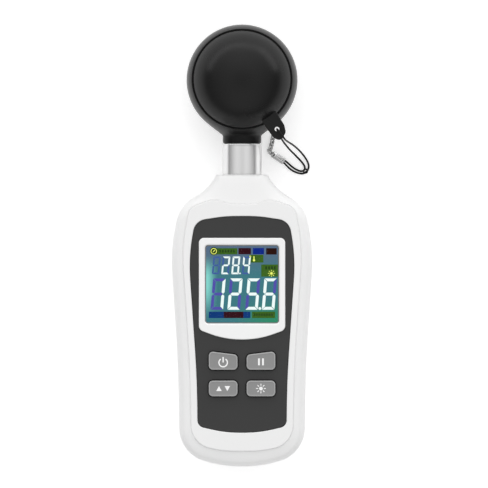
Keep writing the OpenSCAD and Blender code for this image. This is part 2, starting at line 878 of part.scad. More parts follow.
module head_rear_shell() {
    color(cap_black)
        difference() {
            union() {
                difference() {
                    union() {
                        intersection() {
                            ball(head_r);
                            slab(head_back_z, seam_z);
                        }
                        intersection() {
                            neck_solid();
                            slab(0, seam_z);
                        }
                    }
                    intersection() {
                        ball(head_r - head_wall);
                        slab(head_back_z + 2, seam_z + 1);
                    }
                }
                intersection() {
                    ball(head_r - 0.6);
                    head_posts(2.4, head_back_z + 2.4, seam_z);
                }
            }
            union() {
                neck_rod(spindle_r + 0.02, neck_y - 1, head_y - 15);
                neck_rod(flange_r + 0.02, spindle_flange_y - 0.02, head_y - 14);
            }
            head_posts(screw_r + seat_gap, 0, seam_z + 1);
            head_posts(screw_head_r + 0.2, 0, head_back_z + 6);
        }
}

module head_front_shell() {
    color(cap_black)
        difference() {
            union() {
                difference() {
                    union() {
                        intersection() {
                            ball(head_r);
                            slab(seam_z, rim_z);
                        }
                        intersection() {
                            neck_solid();
                            slab(seam_z, rim_z);
                        }
                    }
                    intersection() {
                        ball(head_r - head_wall);
                        slab(seam_z - 1, dome_seat_z - 0.8);
                    }
                }
                head_posts(2.4, seam_z, dome_seat_z - 0.5);
            }
            head_disc(head_light_r, dome_seat_z - 2, dome_z);
            head_disc(dome_flange_r + seat_gap, dome_seat_z, rim_z + 1);
            head_disc(cap_r + cap_gap, cap_seat_z, rim_z + 1);
            neck_rod(spindle_r + 0.02, neck_y - 1, head_y - 15);
            block(-flange_r - 0.1, flange_r + 0.1, spindle_flange_y - 0.02, head_y - 14, seam_z - 1,
                seam_z + 4.9);
            head_posts(screw_r, seam_z - 1, dome_seat_z - 1.6);
        }
}

module diffuser_dome() {
    flange_z = dome_seat_z;
    inner_r = dome_sphere_r - dome_t;
    color([0.96, 0.96, 0.94])
        translate([0, head_y, 0])
            difference() {
                union() {
                    translate([0, 0, flange_z])
                        cylinder(r = dome_flange_r, h = dome_flange_t);
                    intersection() {
                        translate([0, 0, dome_sphere_z])
                            sphere(r = dome_sphere_r);
                        translate([0, 0, flange_z])
                            cylinder(r = dome_r, h = dome_h + dome_flange_t + 1);
                    }
                }
                intersection() {
                    translate([0, 0, dome_sphere_z])
                        sphere(r = inner_r);
                    translate([0, 0, flange_z - 1])
                        cylinder(r = dome_r - dome_t, h = dome_h + 4);
                }
            }
}

module optical_filter() {
    color([0.35, 0.65, 0.55])
        translate([0, head_y, filter_z])
            cylinder(r = 5.4, h = filter_h);
}

module photodiode() {
    color([0.75, 0.75, 0.72])
        translate([0, head_y, diode_z])
            cylinder(r = 4.6, h = diode_h);
}

module sensor_board() {
    color(board_green)
        difference() {
            translate([0, head_y, sensor_board_z])
                cylinder(r = head_r - head_wall - 0.5, h = sensor_board_t);
            head_posts(2.4 + seat_gap, sensor_board_z - 1, sensor_board_z + 3);
            block(-spindle_r - 2, spindle_r + 2, head_y - 20, spindle_end_y + 0.3, seam_z, seam_z + 5);
        }
}

module head_screws() {
    color(satin_metal)
        for (angle = head_screw_angles)
            translate([head_screw_ring_r * cos(angle), head_y + head_screw_ring_r * sin(angle), 0])
                union()
                    screw([0, 0], head_back_z + 6, 12);
}

// ---- cap and lanyard ----
// Radius at each height of a sphere round the cap's crown, from a0 to a1 degrees off the pole
function crown_arc(r, a0, a1, steps) = [for (k = [0 : steps])
    let (a = a0 + (a1 - a0) * k / steps)
    [r * sin(a), crown_sphere_z + r * cos(a)]];

module cap_shell() {
    inner_r = crown_sphere_r - cap_wall;
    crown_edge = asin(cap_r / crown_sphere_r);
    skirt_bore = cap_r - cap_wall;
    inner_edge = asin(skirt_bore / inner_r);
    translate([0, head_y, 0])
        rotate_extrude()
            polygon(concat([[skirt_bore, cap_rim_z], [cap_r, cap_rim_z]],
                crown_arc(crown_sphere_r, crown_edge, 0, 14), crown_arc(inner_r, 0, inner_edge, 12)));
}

module sensor_cap() {
    color(cap_black)
        difference() {
            union() {
                cap_shell();
                difference() {
                    translate([0, 0, ear_z])
                        linear_extrude(ear_t)
                            polygon(rounded(ear_outline));
                    head_disc(cap_r - 1.6, ear_z - 1, ear_z + ear_t + 1);
                }
            }
            post(ear_hole, ear_hole_r, ear_z - 1, ear_z + ear_t + 1);
        }
}

module lanyard_cord() {
    color(cap_black)
        swept_tube(cord_route, cord_d / 2, 8, [0, 0, 1]);
}

module ring(r, wire_r) {
    rotate_extrude()
        translate([r, 0])
            circle(r = wire_r);
}

module lanyard_bead() {
    color(cap_black)
        translate([bead_at.x, bead_at.y, cord_d + bead_wire_r + 0.1])
            ring(bead_r, bead_wire_r);
}

// Crimped tube whose far end is flattened and holed for the chain
module lanyard_ferrule() {
    color(satin_metal)
        translate([ferrule_at.x, ferrule_at.y, ferrule_z])
            rotate([0, 0, ferrule_turn])
                difference() {
                    rotate([0, 90, 0])
                        translate([0, 0, -ferrule_l / 2])
                            cylinder(r = ferrule_d / 2, h = ferrule_l);
                    rotate([0, 90, 0])
                        translate([0, 0, ferrule_l / 2 - ferrule_bore_l])
                            cylinder(r = ferrule_bore_r, h = ferrule_bore_l + 1);
                    for (z = [tab_t / 2, -tab_t / 2 - ferrule_d])
                        block(-ferrule_l / 2 - 1, -ferrule_l / 2 + tab_l,
                            -ferrule_d, ferrule_d, z, z + ferrule_d);
                    post([-ferrule_l / 2 + eye_x, 0], eye_r, -ferrule_d, ferrule_d);
                }
}

module lanyard_chain() {
    color(satin_metal)
        for (link = chain_links)
            translate([link[0], link[1], link[2]])
                rotate([link[4] ? 90 : 0, 0, link[3]])
                    ring(link_r, link_wire_r);
}

front_shell();
rear_shell();
front_panel();
window_frame();
display_lens();
lcd_glass();
lcd_backlight();
lcd_holder();
zebra_strip();
main_board();
board_components();
thermistor();
button_power();
button_hold();
button_min_max();
button_units();
keypad_mat();
tact_switches();
battery_door();
battery_cells();
contact_springs();
contact_plates();
tripod_insert();
shell_screws();
board_screws();
board_cable();
cable_socket();
neck_collar();
swivel_bushing();
friction_washer();
swivel_spindle();
retaining_ring();
sensor_cable();
head_rear_shell();
head_front_shell();
diffuser_dome();
optical_filter();
photodiode();
sensor_board();
head_screws();
sensor_cap();
lanyard_cord();
lanyard_bead();
lanyard_ferrule();
lanyard_chain();
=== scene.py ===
import json
import math

import bmesh
import bpy
from mathutils import Matrix, Vector
from mathutils.geometry import tessellate_polygon


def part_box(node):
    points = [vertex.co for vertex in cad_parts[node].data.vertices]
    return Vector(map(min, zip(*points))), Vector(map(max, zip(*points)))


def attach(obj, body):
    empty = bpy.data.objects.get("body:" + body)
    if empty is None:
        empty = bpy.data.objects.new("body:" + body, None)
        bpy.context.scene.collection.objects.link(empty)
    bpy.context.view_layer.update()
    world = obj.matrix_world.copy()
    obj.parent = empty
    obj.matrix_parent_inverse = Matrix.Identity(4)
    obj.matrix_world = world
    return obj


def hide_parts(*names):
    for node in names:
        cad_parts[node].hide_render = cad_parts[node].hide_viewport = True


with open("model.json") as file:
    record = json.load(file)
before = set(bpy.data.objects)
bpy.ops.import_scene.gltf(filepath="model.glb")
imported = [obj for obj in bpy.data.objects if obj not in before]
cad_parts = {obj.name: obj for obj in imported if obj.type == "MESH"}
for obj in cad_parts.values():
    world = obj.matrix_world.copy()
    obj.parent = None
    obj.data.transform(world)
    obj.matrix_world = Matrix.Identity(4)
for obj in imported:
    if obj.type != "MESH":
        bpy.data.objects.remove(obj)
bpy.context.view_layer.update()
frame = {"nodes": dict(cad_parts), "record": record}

# Handheld light meter. Sizes here are in millimetres and metres() turns them into the frame's units.
MM = 0.001
NODES = frame["nodes"]


def metres(point):
    return Vector(point) * MM


def box(node):
    """Lowest and highest corner of a CAD node, in millimetres."""
    low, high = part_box(node)
    return low / MM, high / MM


# ---------------------------------------------------------------- sizes from the frame
case_low, case_high = box("front_shell")
body_half = case_high.x
tail_y = case_low.y
top_y = case_high.y
seam_z = case_low.z
face_z = case_high.z
panel_low, panel_high = box("front_panel")
bezel_low, bezel_high = box("window_frame")
glass_top = box("lcd_glass")[1].z
lens_top = box("display_lens")[1].z
collar_low, collar_high = box("neck_collar")
bush_end = box("swivel_bushing")[1].y
head_foot = box("head_rear_shell")[0].z
screw_foot = box("head_screws")[0].z
dome_low, dome_high = box("diffuser_dome")
cap_low, cap_high = box("sensor_cap")

# ---------------------------------------------------------------- camera
view_centre = Vector((0.7, 0.5, 20))
view_height = 1600
view_width = 176.5
sensor_width = 36

camera_data = bpy.data.cameras.new("camera")
camera_data.sensor_width = sensor_width
camera_data.lens = sensor_width * view_height / view_width
camera_data.clip_end = 10
camera = bpy.data.objects.new("camera", camera_data)
camera.location = metres(view_centre + Vector((0, 0, view_height)))
bpy.context.scene.collection.objects.link(camera)
bpy.context.scene.camera = camera
bpy.context.scene.view_settings.view_transform = "Standard"


# ---------------------------------------------------------------- materials
def linear(value):
    """Linear value of an 8-bit screen value."""
    share = value / 255
    return share / 12.92 if share <= 0.04045 else ((share + 0.055) / 1.055) ** 2.4


def screen(red, green, blue):
    return (linear(red), linear(green), linear(blue), 1)


def grey(value):
    return screen(value, value, value)


def shade(colour, factor):
    """Colour made darker or lighter by a factor."""
    return tuple(channel * factor for channel in colour[:3]) + (1,)


def start_material(name):
    material = bpy.data.materials.new(name)
    material.use_nodes = True
    tree = material.node_tree
    return material, tree, tree.nodes["Principled BSDF"]


def feed(tree, value, socket):
    """Link a node's result to a socket, or set the socket to a plain value."""
    if isinstance(value, bpy.types.NodeSocket):
        tree.links.new(value, socket)
    else:
        socket.default_value = value


def object_place(tree, scale=(1, 1, 1)):
    """Object coordinates stretched by scale."""
    place = tree.nodes.new("ShaderNodeTexCoord")
    mapping = tree.nodes.new("ShaderNodeMapping")
    mapping.inputs["Scale"].default_value = scale
    tree.links.new(place.outputs["Object"], mapping.inputs["Vector"])
    return mapping.outputs["Vector"]


def noise_value(tree, scale, detail=3, stretch=(1, 1, 1)):
    texture = tree.nodes.new("ShaderNodeTexNoise")
    texture.inputs["Scale"].default_value = scale
    texture.inputs["Detail"].default_value = detail
    tree.links.new(object_place(tree, stretch), texture.inputs["Vector"])
    return texture.outputs["Fac"]


def spread(tree, value, low, high):
    """Value from 0 to 1 mapped to low ... high."""
    node = tree.nodes.new("ShaderNodeMapRange")
    node.inputs["To Min"].default_value = low
    node.inputs["To Max"].default_value = high
    tree.links.new(value, node.inputs["Value"])
    return node.outputs["Result"]


def arithmetic(tree, operation, *terms):
    """Result of a sum or product whose terms are numbers or other nodes' results."""
    node = tree.nodes.new("ShaderNodeMath")
    node.operation = operation
    for socket, term in zip(node.inputs, terms):
        feed(tree, term, socket)
    return node.outputs["Value"]


def colour_mix(tree, factor, low, high):
    """Colour that goes from low to high as factor goes from 0 to 1."""
    node = tree.nodes.new("ShaderNodeMix")
    node.data_type = "RGBA"
    tree.links.new(factor, node.inputs["Factor"])
    feed(tree, low, node.inputs["A"])
    feed(tree, high, node.inputs["B"])
    return node.outputs["Result"]


def bump(tree, shader, height, strength, distance):
    node = tree.nodes.new("ShaderNodeBump")
    node.inputs["Strength"].default_value = strength
    node.inputs["Distance"].default_value = distance
    tree.links.new(height, node.inputs["Height"])
    tree.links.new(node.outputs["Normal"], shader.inputs["Normal"])


def moulded(name, colour, roughness=0.4, grain=2500, strength=0.15, change=0.03, specular=0.5):
    """Moulded plastic or rubber: a fine grain, and slow changes of tone and gloss."""
    material, tree, shader = start_material(name)
    slow = noise_value(tree, 60, 2)
    tone = colour_mix(tree, slow, shade(colour, 1 - change), shade(colour, 1 + change))
    tree.links.new(tone, shader.inputs["Base Color"])
    tree.links.new(spread(tree, slow, roughness - 0.05, roughness + 0.05), shader.inputs["Roughness"])
    bump(tree, shader, noise_value(tree, grain, 2), strength, 0.00004)
    shader.inputs["Specular IOR Level"].default_value = specular
    return material


def metal(name, colour, roughness=0.25, stretch=(1, 1, 1), grain=900, strength=0.2):
    """Metal with fine brushing or turning marks, drawn out by stretch."""
    material, tree, shader = start_material(name)
    marks = noise_value(tree, grain, 4, stretch)
    tree.links.new(colour_mix(tree, marks, shade(colour, 0.93), colour), shader.inputs["Base Color"])
    tree.links.new(spread(tree, marks, roughness - 0.06, roughness + 0.06), shader.inputs["Roughness"])
    shader.inputs["Metallic"].default_value = 1
    bump(tree, shader, marks, strength, 0.00003)
    return material


def lit(name, colour, strength=1.0, change=0.06):
    """Lit or printed part of the display, slightly uneven."""
    material, tree, shader = start_material(name)
    shader.inputs["Base Color"].default_value = NEARLY_BLACK
    shader.inputs["Specular IOR Level"].default_value = 0
    shader.inputs["Emission Strength"].default_value = strength
    patches = noise_value(tree, 700, 2)
    tone = colour_mix(tree, patches, shade(colour, 1 - change), shade(colour, 1 + change))
    tree.links.new(tone, shader.inputs["Emission Color"])
    return material


def clear_plastic(name, colour, alpha):
    """Clear sheet with faint waves; alpha says how much of its own colour is seen."""
    material, tree, shader = start_material(name)
    shader.inputs["Base Color"].default_value = colour
    shader.inputs["Alpha"].default_value = alpha
    shader.inputs["Roughness"].default_value = 0.04
    bump(tree, shader, noise_value(tree, 300, 2), 0.02, 0.00002)
    return material


def translucent(name, colour, weight):
    """White plastic that light sinks into."""
    material, tree, shader = start_material(name)
    slow = noise_value(tree, 120, 3)
    tree.links.new(colour_mix(tree, slow, shade(colour, 0.96), colour), shader.inputs["Base Color"])
    shader.inputs["Roughness"].default_value = 0.35
    shader.inputs["Subsurface Weight"].default_value = weight
    shader.inputs["Subsurface Scale"].default_value = 0.002
    bump(tree, shader, noise_value(tree, 1800, 2), 0.08, 0.00003)
    return material


def display_background(name):
    """Lit display: slate blue at its top, teal below, an aqua glow at its left edge, green at its foot."""
    material, tree, shader = start_material(name)
    shader.inputs["Base Color"].default_value = NEARLY_BLACK
    shader.inputs["Specular IOR Level"].default_value = 0.1
    shader.inputs["Roughness"].default_value = 0.25
    shader.inputs["Emission Strength"].default_value = 1
    split = tree.nodes.new("ShaderNodeSeparateXYZ")
    tree.links.new(object_place(tree), split.inputs["Vector"])

    def ramp(axis, start, stop):
        """Smooth rise from 0 to 1 between two places on an axis, in millimetres."""
        node = tree.nodes.new("ShaderNodeMapRange")
        node.interpolation_type = "SMOOTHSTEP"
        node.inputs["From Min"].default_value = start * MM
        node.inputs["From Max"].default_value = stop * MM
        tree.links.new(split.outputs[axis], node.inputs["Value"])
        return node.outputs["Result"]

    foot = arithmetic(tree, "MULTIPLY", ramp("Y", -18, -27), ramp("X", -6, 12))
    beside = arithmetic(tree, "MULTIPLY", ramp("Y", -27, -14), ramp("Y", -3, -12))
    glow = arithmetic(tree, "MULTIPLY", ramp("X", -8.5, -13.5), beside)
    tone = colour_mix(tree, ramp("Y", -1, -12), screen(86, 109, 134), screen(60, 121, 131))
    tone = colour_mix(tree, foot, tone, screen(46, 138, 104))
    tone = colour_mix(tree, glow, tone, screen(140, 224, 214))
    tree.links.new(tone, shader.inputs["Emission Color"])
    return material


NEARLY_BLACK = (0.002, 0.002, 0.002, 1)
MATERIALS = {
    "case_white": moulded("case_white", grey(244), 0.42, 2200, 0.12, 0.012),
    "panel_grey": moulded("panel_grey", grey(60), 0.6, 3500, 0.3, 0.05, specular=0.2),
    "frame_white": moulded("frame_white", grey(249), 0.25, 1500, 0.04, 0.01),
    "clear_window": clear_plastic("clear_window", grey(50), 0.02),
    "display_glass": display_background("display_glass"),
    "light_guide": translucent("light_guide", grey(240), 0.3),
    "holder_white": moulded("holder_white", grey(232), 0.45),
    "elastomer_pink": moulded("elastomer_pink", screen(214, 120, 150), 0.6),
    "board_green": moulded("board_green", screen(28, 110, 62), 0.35, 1500, 0.2, 0.12),
    "chip_black": moulded("chip_black", grey(34), 0.5),
    "button_grey": moulded("button_grey", grey(143), 0.5, 3800, 0.35, 0.04, specular=0.35),
    "cell_wrap": moulded("cell_wrap", screen(46, 128, 84), 0.3, 900, 0.08, 0.08),
    "steel": metal("steel", grey(205), 0.28),
    "brass": metal("brass", screen(214, 176, 96), 0.3),
    "cable_black": moulded("cable_black", grey(30), 0.5),
    "collar_metal": metal("collar_metal", grey(230), 0.3, (1, 0.03, 1), 2600, 0.35),
    "bush_black": moulded("bush_black", grey(18), 0.45),
    "head_black": moulded("head_black", grey(23), 0.3, 2600, 0.1, 0.04, specular=0.11),
    "dome_white": translucent("dome_white", grey(246), 0.5),
    "filter_glass": clear_plastic("filter_glass", screen(170, 215, 205), 0.6),
    "diode_metal": metal("diode_metal", grey(200), 0.3),
    "cap_black": moulded("cap_black", grey(20), 0.28, 2400, 0.08, 0.04, specular=0.22),
    "cord_black": moulded("cord_black", grey(9), 0.6, 5000, 0.6, 0.15, specular=0.25),
    "lanyard_metal": metal("lanyard_metal", grey(206), 0.18, (1, 1, 1), 1500, 0.2),
}
PRINT_WHITE = moulded("print_white", grey(252), 0.5, 3000, 0.1, 0.02)
# Painted highlight: lighter grey for the keys' rounded rims
KEY_RIM_PAINTED_HIGHLIGHT = moulded("key_rim_painted_highlight", grey(166), 0.45, 3800, 0.3, 0.05)
# Painted shade: dark grey for the panel's seat, seen only through the gaps round the keys; partly the dark
# keypad beneath, partly painted gap shadow
GAP_PAINTED_SHADE = moulded("gap_painted_shade", grey(26), 0.7, 3000, 0.3, 0.1, specular=0.2)
# Painted shade: mid grey for the walls of the display's well and a thin ring at the window's inner edge,
# darkening the recess
EDGE_PAINTED_SHADE = moulded("window_edge_painted_shade", grey(120), 0.5, 3000, 0.1, 0.05)
LIT_WHITE = lit("segment_white", screen(242, 255, 253), 1.03)
LIT_YELLOW = lit("segment_yellow", screen(244, 255, 118), 1.05)
GHOST_VIOLET = lit("segment_violet", screen(84, 82, 172))
GHOST_BLUE = lit("segment_blue", screen(66, 96, 160))
TINT_OLIVE = lit("tint_olive", screen(60, 100, 32), change=0.2)
TINT_RED = lit("tint_red", screen(52, 16, 26), change=0.3)
TINT_BROWN = lit("tint_brown", screen(44, 18, 14), change=0.3)
TINT_BLUE = lit("tint_blue", screen(14, 42, 136), change=0.2)
TINT_NAVY = lit("tint_navy", screen(16, 58, 120), change=0.2)
TINT_DARK = lit("tint_dark", screen(36, 62, 28), change=0.1)

# Every CAD node gets the material of its slot; a piece that replaces some gets its own below
for row in frame["record"]["subparts"]:
    slots = NODES[row["node"]].data.materials
    if len(slots) == 0:
        slots.append(MATERIALS[row["material_slot"]])
    for index in range(len(slots)):
        slots[index] = MATERIALS[row["material_slot"]]


# ---------------------------------------------------------------- mesh building
def new_piece(name, mesh, body, slot, replaces=(), materials=(), sharp=35):
    """Object of a mesh that rides on a body, in its slot's material unless others are given."""
    mesh.shade_smooth()
    mesh.set_sharp_from_angle(angle=math.radians(sharp))
    for material in materials or [MATERIALS[slot]]:
        mesh.materials.append(material)
    piece = bpy.data.objects.new(name, mesh)
    bpy.context.scene.collection.objects.link(piece)
    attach(piece, body)
    if replaces:
        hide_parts(*replaces)
    return piece


class Shape:
    """Points and faces gathered in millimetres; a face's mark is the number of its material."""

    def __init__(self):
        self.points = []
        self.faces = []
        self.marks = []

    def add(self, points, faces, mark=0):
        start = len(self.points)
        self.points += [tuple(point) for point in points]
        self.faces += [[start + index for index in face] for face in faces]
        self.marks += [mark] * len(faces)

    def loft(self, loops, closed=False, mark=0):
        """Walls through loops of 3-D points that each have as many points."""
        count = len(loops[0])
        pairs = len(loops) if closed else len(loops) - 1
        faces = []
        for i in range(pairs):
            for j in range(count):
                k = (j + 1) % count
                below = i * count
                above = (i + 1) % len(loops) * count
                faces.append([below + j, below + k, above + k, above + j])
        self.add([point for loop in loops for point in loop], faces, mark)

    def fill(self, loops, z, up=True, mark=0):
        """Flat face at height z inside the first loop and outside the others, whatever their own heights."""
        flat = [[Vector((p[0], p[1], 0)) for p in loop] for loop in loops]
        points = [(p[0], p[1], z) for loop in loops for p in loop]
        faces = []
        for triangle in tessellate_polygon(flat):
            a, b, c = (Vector(points[index]) for index in triangle)
            upward = (b - a).cross(c - a).z > 0
            faces.append(list(triangle) if upward == up else list(reversed(triangle)))
        self.add(points, faces, mark)

    def mesh(self, name):
        mesh = bpy.data.meshes.new(name)
        mesh.from_pydata([metres(point) for point in self.points], [], self.faces)
        for polygon, mark in zip(mesh.polygons, self.marks):
            polygon.material_index = mark
        mesh.validate()
        mesh.update()
        return mesh


LEAST_R = 0.001


def at_height(loop, z):
    return [(point[0], point[1], z) for point in loop]


def smooth_step(t):
    t = min(max(t, 0), 1)
    return t * t * (3 - 2 * t)


def turns(count):
    """Angles of equal steps round a full turn."""
    return [2 * math.pi * k / count for k in range(count)]


def circle(x, y, r, count):
    return [Vector((x + r * math.cos(a), y + r * math.sin(a))) for a in turns(count)]


def inward(loops):
    """Loops listed the other way round, so that the walls through them face inwards."""
    return [list(reversed(loop)) for loop in loops]


def lathe(shape, profile, place, segments):
    """Walls of a profile [radius, height] turned about an axis; place(across, up, height) gives a point."""
    loops = []
    for radius, height in profile:
        r = max(radius, LEAST_R)
        loops.append([place(r * math.cos(a), r * math.sin(a), height) for a in turns(segments)])
    shape.loft(loops)


def arc(centre_r, centre_h, radius, start, stop, steps):
    """Profile points of an arc; angles in degrees, 0 along the radius and 90 along the height."""
    angles = [math.radians(start + (stop - start) * k / steps) for k in range(steps + 1)]
    return [(centre_r + radius * math.cos(a), centre_h + radius * math.sin(a)) for a in angles]


def merged(mesh):
    """Mesh with coincident points joined and its faces turned outwards."""
    body = bmesh.new()
    body.from_mesh(mesh)
    bmesh.ops.remove_doubles(body, verts=body.verts, dist=3e-6)
    bmesh.ops.recalc_face_normals(body, faces=body.faces)
    body.to_mesh(mesh)
    body.free()
    return mesh


def turned_solid(name, profile, place, segments):
    """Closed solid of revolution, for cutting with."""
    shape = Shape()
    lathe(shape, profile, place, segments)
    return merged(shape.mesh(name))


def carved(mesh, cutter):
    """Mesh with another one taken away from it."""
    piece = bpy.data.objects.new("carved", mesh)
    tool = bpy.data.objects.new("tool", cutter)
    bpy.context.scene.collection.objects.link(piece)
    bpy.context.scene.collection.objects.link(tool)
    modifier = piece.modifiers.new("carve", "BOOLEAN")
    modifier.operation = "DIFFERENCE"
    modifier.object = tool
    modifier.solver = "EXACT"
    bpy.context.view_layer.update()
    graph = bpy.context.evaluated_depsgraph_get()
    result = bpy.data.meshes.new_from_object(piece.evaluated_get(graph))
    bpy.data.objects.remove(piece)
    bpy.data.objects.remove(tool)
    return result


# ---------------------------------------------------------------- outlines of rounded corners
def corner_points(before, corner, after, radius, steps):
    """Points of the arc that rounds a corner between two straight edges."""
    a = (before - corner).normalized()
    b = (after - corner).normalized()
    half = math.acos(max(-1, min(1, a.dot(b)))) / 2
    centre = corner + (a + b).normalized() * radius / math.sin(half)
    start = corner + a * radius / math.tan(half) - centre
    side = 1 if (corner - before).cross(after - corner) > 0 else -1
    sweep = side * (math.pi - 2 * half)
    return [centre + Matrix.Rotation(sweep * k / steps, 2) @ start for k in range(steps + 1)]


def both_sides(side):
    """Whole outline from the corners of its right-hand half."""
    return side + [[-c[0], c[1], c[2], c[3]] for c in reversed(side)]


def spot(corner):
    return Vector((corner[0], corner[1]))


def inset(corners, d):
    """Outline with each edge moved inwards by d."""
    moved = []
    count = len(corners)
    for i in range(count):
        c = spot(corners[i])
        e1 = (c - spot(corners[i - 1])).normalized()
        e2 = (spot(corners[(i + 1) % count]) - c).normalized()
        n1 = Vector((-e1.y, e1.x))
        n2 = Vector((-e2.y, e2.x))
        p = c + (n1 + n2) * d / (1 + n1.dot(n2))
        radius = corners[i][2]
        radius = max(radius - d, 0.15) if e1.cross(e2) > 0 else radius + d
        moved.append([p.x, p.y, radius, corners[i][3]])
    return moved


def tangent_length(corners, i):
    """Distance from a corner to where its arc begins."""
    c = spot(corners[i])
    a = (spot(corners[i - 1]) - c).normalized()
    b = (spot(corners[(i + 1) % len(corners)]) - c).normalized()
    return corners[i][2] / math.tan(math.acos(max(-1, min(1, a.dot(b)))) / 2)


def rounded(corners, d=0):
    """Points of a closed outline of corners [x, y, radius, arc steps], moved inwards by d."""
    listed = inset(corners, d) if d else corners
    count = len(listed)
    points = []
    for i in range(count):
        after = (i + 1) % count
        t = tangent_length(listed, i)
        back = (spot(listed[i]) - spot(listed[i - 1])).length
        ahead = (spot(listed[after]) - spot(listed[i])).length
        room_back = back / (t + tangent_length(listed, i - 1))
        room_ahead = ahead / (t + tangent_length(listed, after))
        share = min(1, 0.98 * room_back, 0.98 * room_ahead)
        points += corner_points(spot(listed[i - 1]), spot(listed[i]), spot(listed[after]),
                                listed[i][2] * share, listed[i][3])
    return points


def rounded_box(x0, x1, y0, y1, radius, steps=6):
    return [[x, y, radius, steps] for x, y in ((x0, y0), (x1, y0), (x1, y1), (x0, y1))]


def edge_rings(corners, z0, z1, start, round_by, steps=4):
    """Loops up a wall from z0 to z1 whose upper edge is rounded; a negative start and round_by fit a hole."""
    loops = [at_height(rounded(corners, start), z0)]
    size = abs(round_by)
    for k in range(steps + 1):
        a = math.pi / 2 * k / steps
        d = start + round_by * (1 - math.cos(a))
        loops.append(at_height(rounded(corners, d), z1 - size + size * math.sin(a)))
    return loops


def add_plate(shape, corners, z0, z1, round_by, start, holes):
    """Plate with a rounded upper edge; each hole is an outline of corners, rounded by as much."""
    walls = edge_rings(corners, z0, z1, start, round_by)
    shape.loft(walls)
    inner_walls = [edge_rings(hole, z0, z1, 0, -round_by) for hole in holes]
    for inner in inner_walls:
        shape.loft(inward(inner))
    rings = [walls] + inner_walls
    shape.fill([loops[-1] for loops in rings], z1)
    shape.fill([loops[0] for loops in rings], z0, False)


# The right-hand half of each outline, up from the tail
shoulder_inset = 3.9
tail_half = 23
neck_half = 9.3
body_outline = both_sides([
    [6.5, tail_y, 45, 8],
    [tail_half - 0.3, tail_y + 4.5, 12.5, 18],
    [tail_half, tail_y + 35, 500, 6],
    [body_half + 0.5, -1, 66, 14],
    [body_half - 2.9, top_y - 11.1, 12.5, 12],
    [neck_half + 2.7, top_y - 5.1, 18, 8],
    [neck_half, top_y, 0.8, 5],
])
crease_half = body_half - shoulder_inset
crease_outline = both_sides([
    [7, tail_y + 5.5, 40, 8],
    [tail_half - shoulder_inset - 0.4, tail_y + 8.2, 9, 18],
    [tail_half - shoulder_inset, tail_y + 35, 500, 6],
    [crease_half + 0.5, -1, 66, 14],
    [crease_half - 2.1, top_y - 11.8, 5, 12],
    [10.5, top_y - 8.6, 7, 8],
    [4.2, top_y - 10.4, 6, 5],
])
panel_tail_y = panel_low.y
panel_outline = both_sides([
    [6, panel_tail_y, 45, 6],
    [16, panel_tail_y + 2.3, 4.6, 12],
    [16, panel_tail_y + 17, 600, 4],
    [19.2, -3.5, 67, 12],
    [16.8, 8.8, 5, 12],
    [5.8, 10.5, 50, 6],
])
bezel_half = bezel_high.x
bezel_outline = both_sides([
    [6, -33.9, 34, 10],
    [bezel_half, -30.4, 2.2, 8],
    [bezel_half, 2.7, 1.8, 8],
])
window_outline = rounded_box(-13.1, 13.1, -27.9, -0.1, 0.9)

# Button columns and rows
button_x = 6.8
button_half = 5.2
slant = 0.65
button_corner = 1.5
upper_y, upper_half = -41.75, 3.05
lower_y, lower_half = -51.5, 2.85


def button_outline(side, row_y, half, lean):
    """Outline of one button; side is -1 for the left column and 1 for the right one."""
    inner = side * (button_x - button_half)
    outer = side * (button_x + button_half)
    corners = [
        [inner, row_y - half, button_corner, 6],
        [outer, row_y - half, button_corner, 6],
        [outer, row_y + half + lean, button_corner, 6],
        [inner, row_y + half - lean, button_corner, 6],
    ]
    return corners if side > 0 else list(reversed(corners))


BUTTONS = {
    "power": (-1, upper_y, upper_half, slant),
    "hold": (1, upper_y, upper_half, slant),
    "min_max": (-1, lower_y, lower_half, 0.0),
    "units": (1, lower_y, lower_half, 0.0),
}


# ---------------------------------------------------------------- case front
def front_outline(d):
    """Outline of the case moved inwards by d, but by only a quarter of that at the neck's end."""
    corners = [list(corner) for corner in body_outline]
    for corner in corners:
        if corner[1] == top_y:
            corner[0] *= 1 - 0.4 * d / neck_half
            corner[1] += 0.75 * d
            corner[2] += 1.4 * d
    return rounded(corners, d)


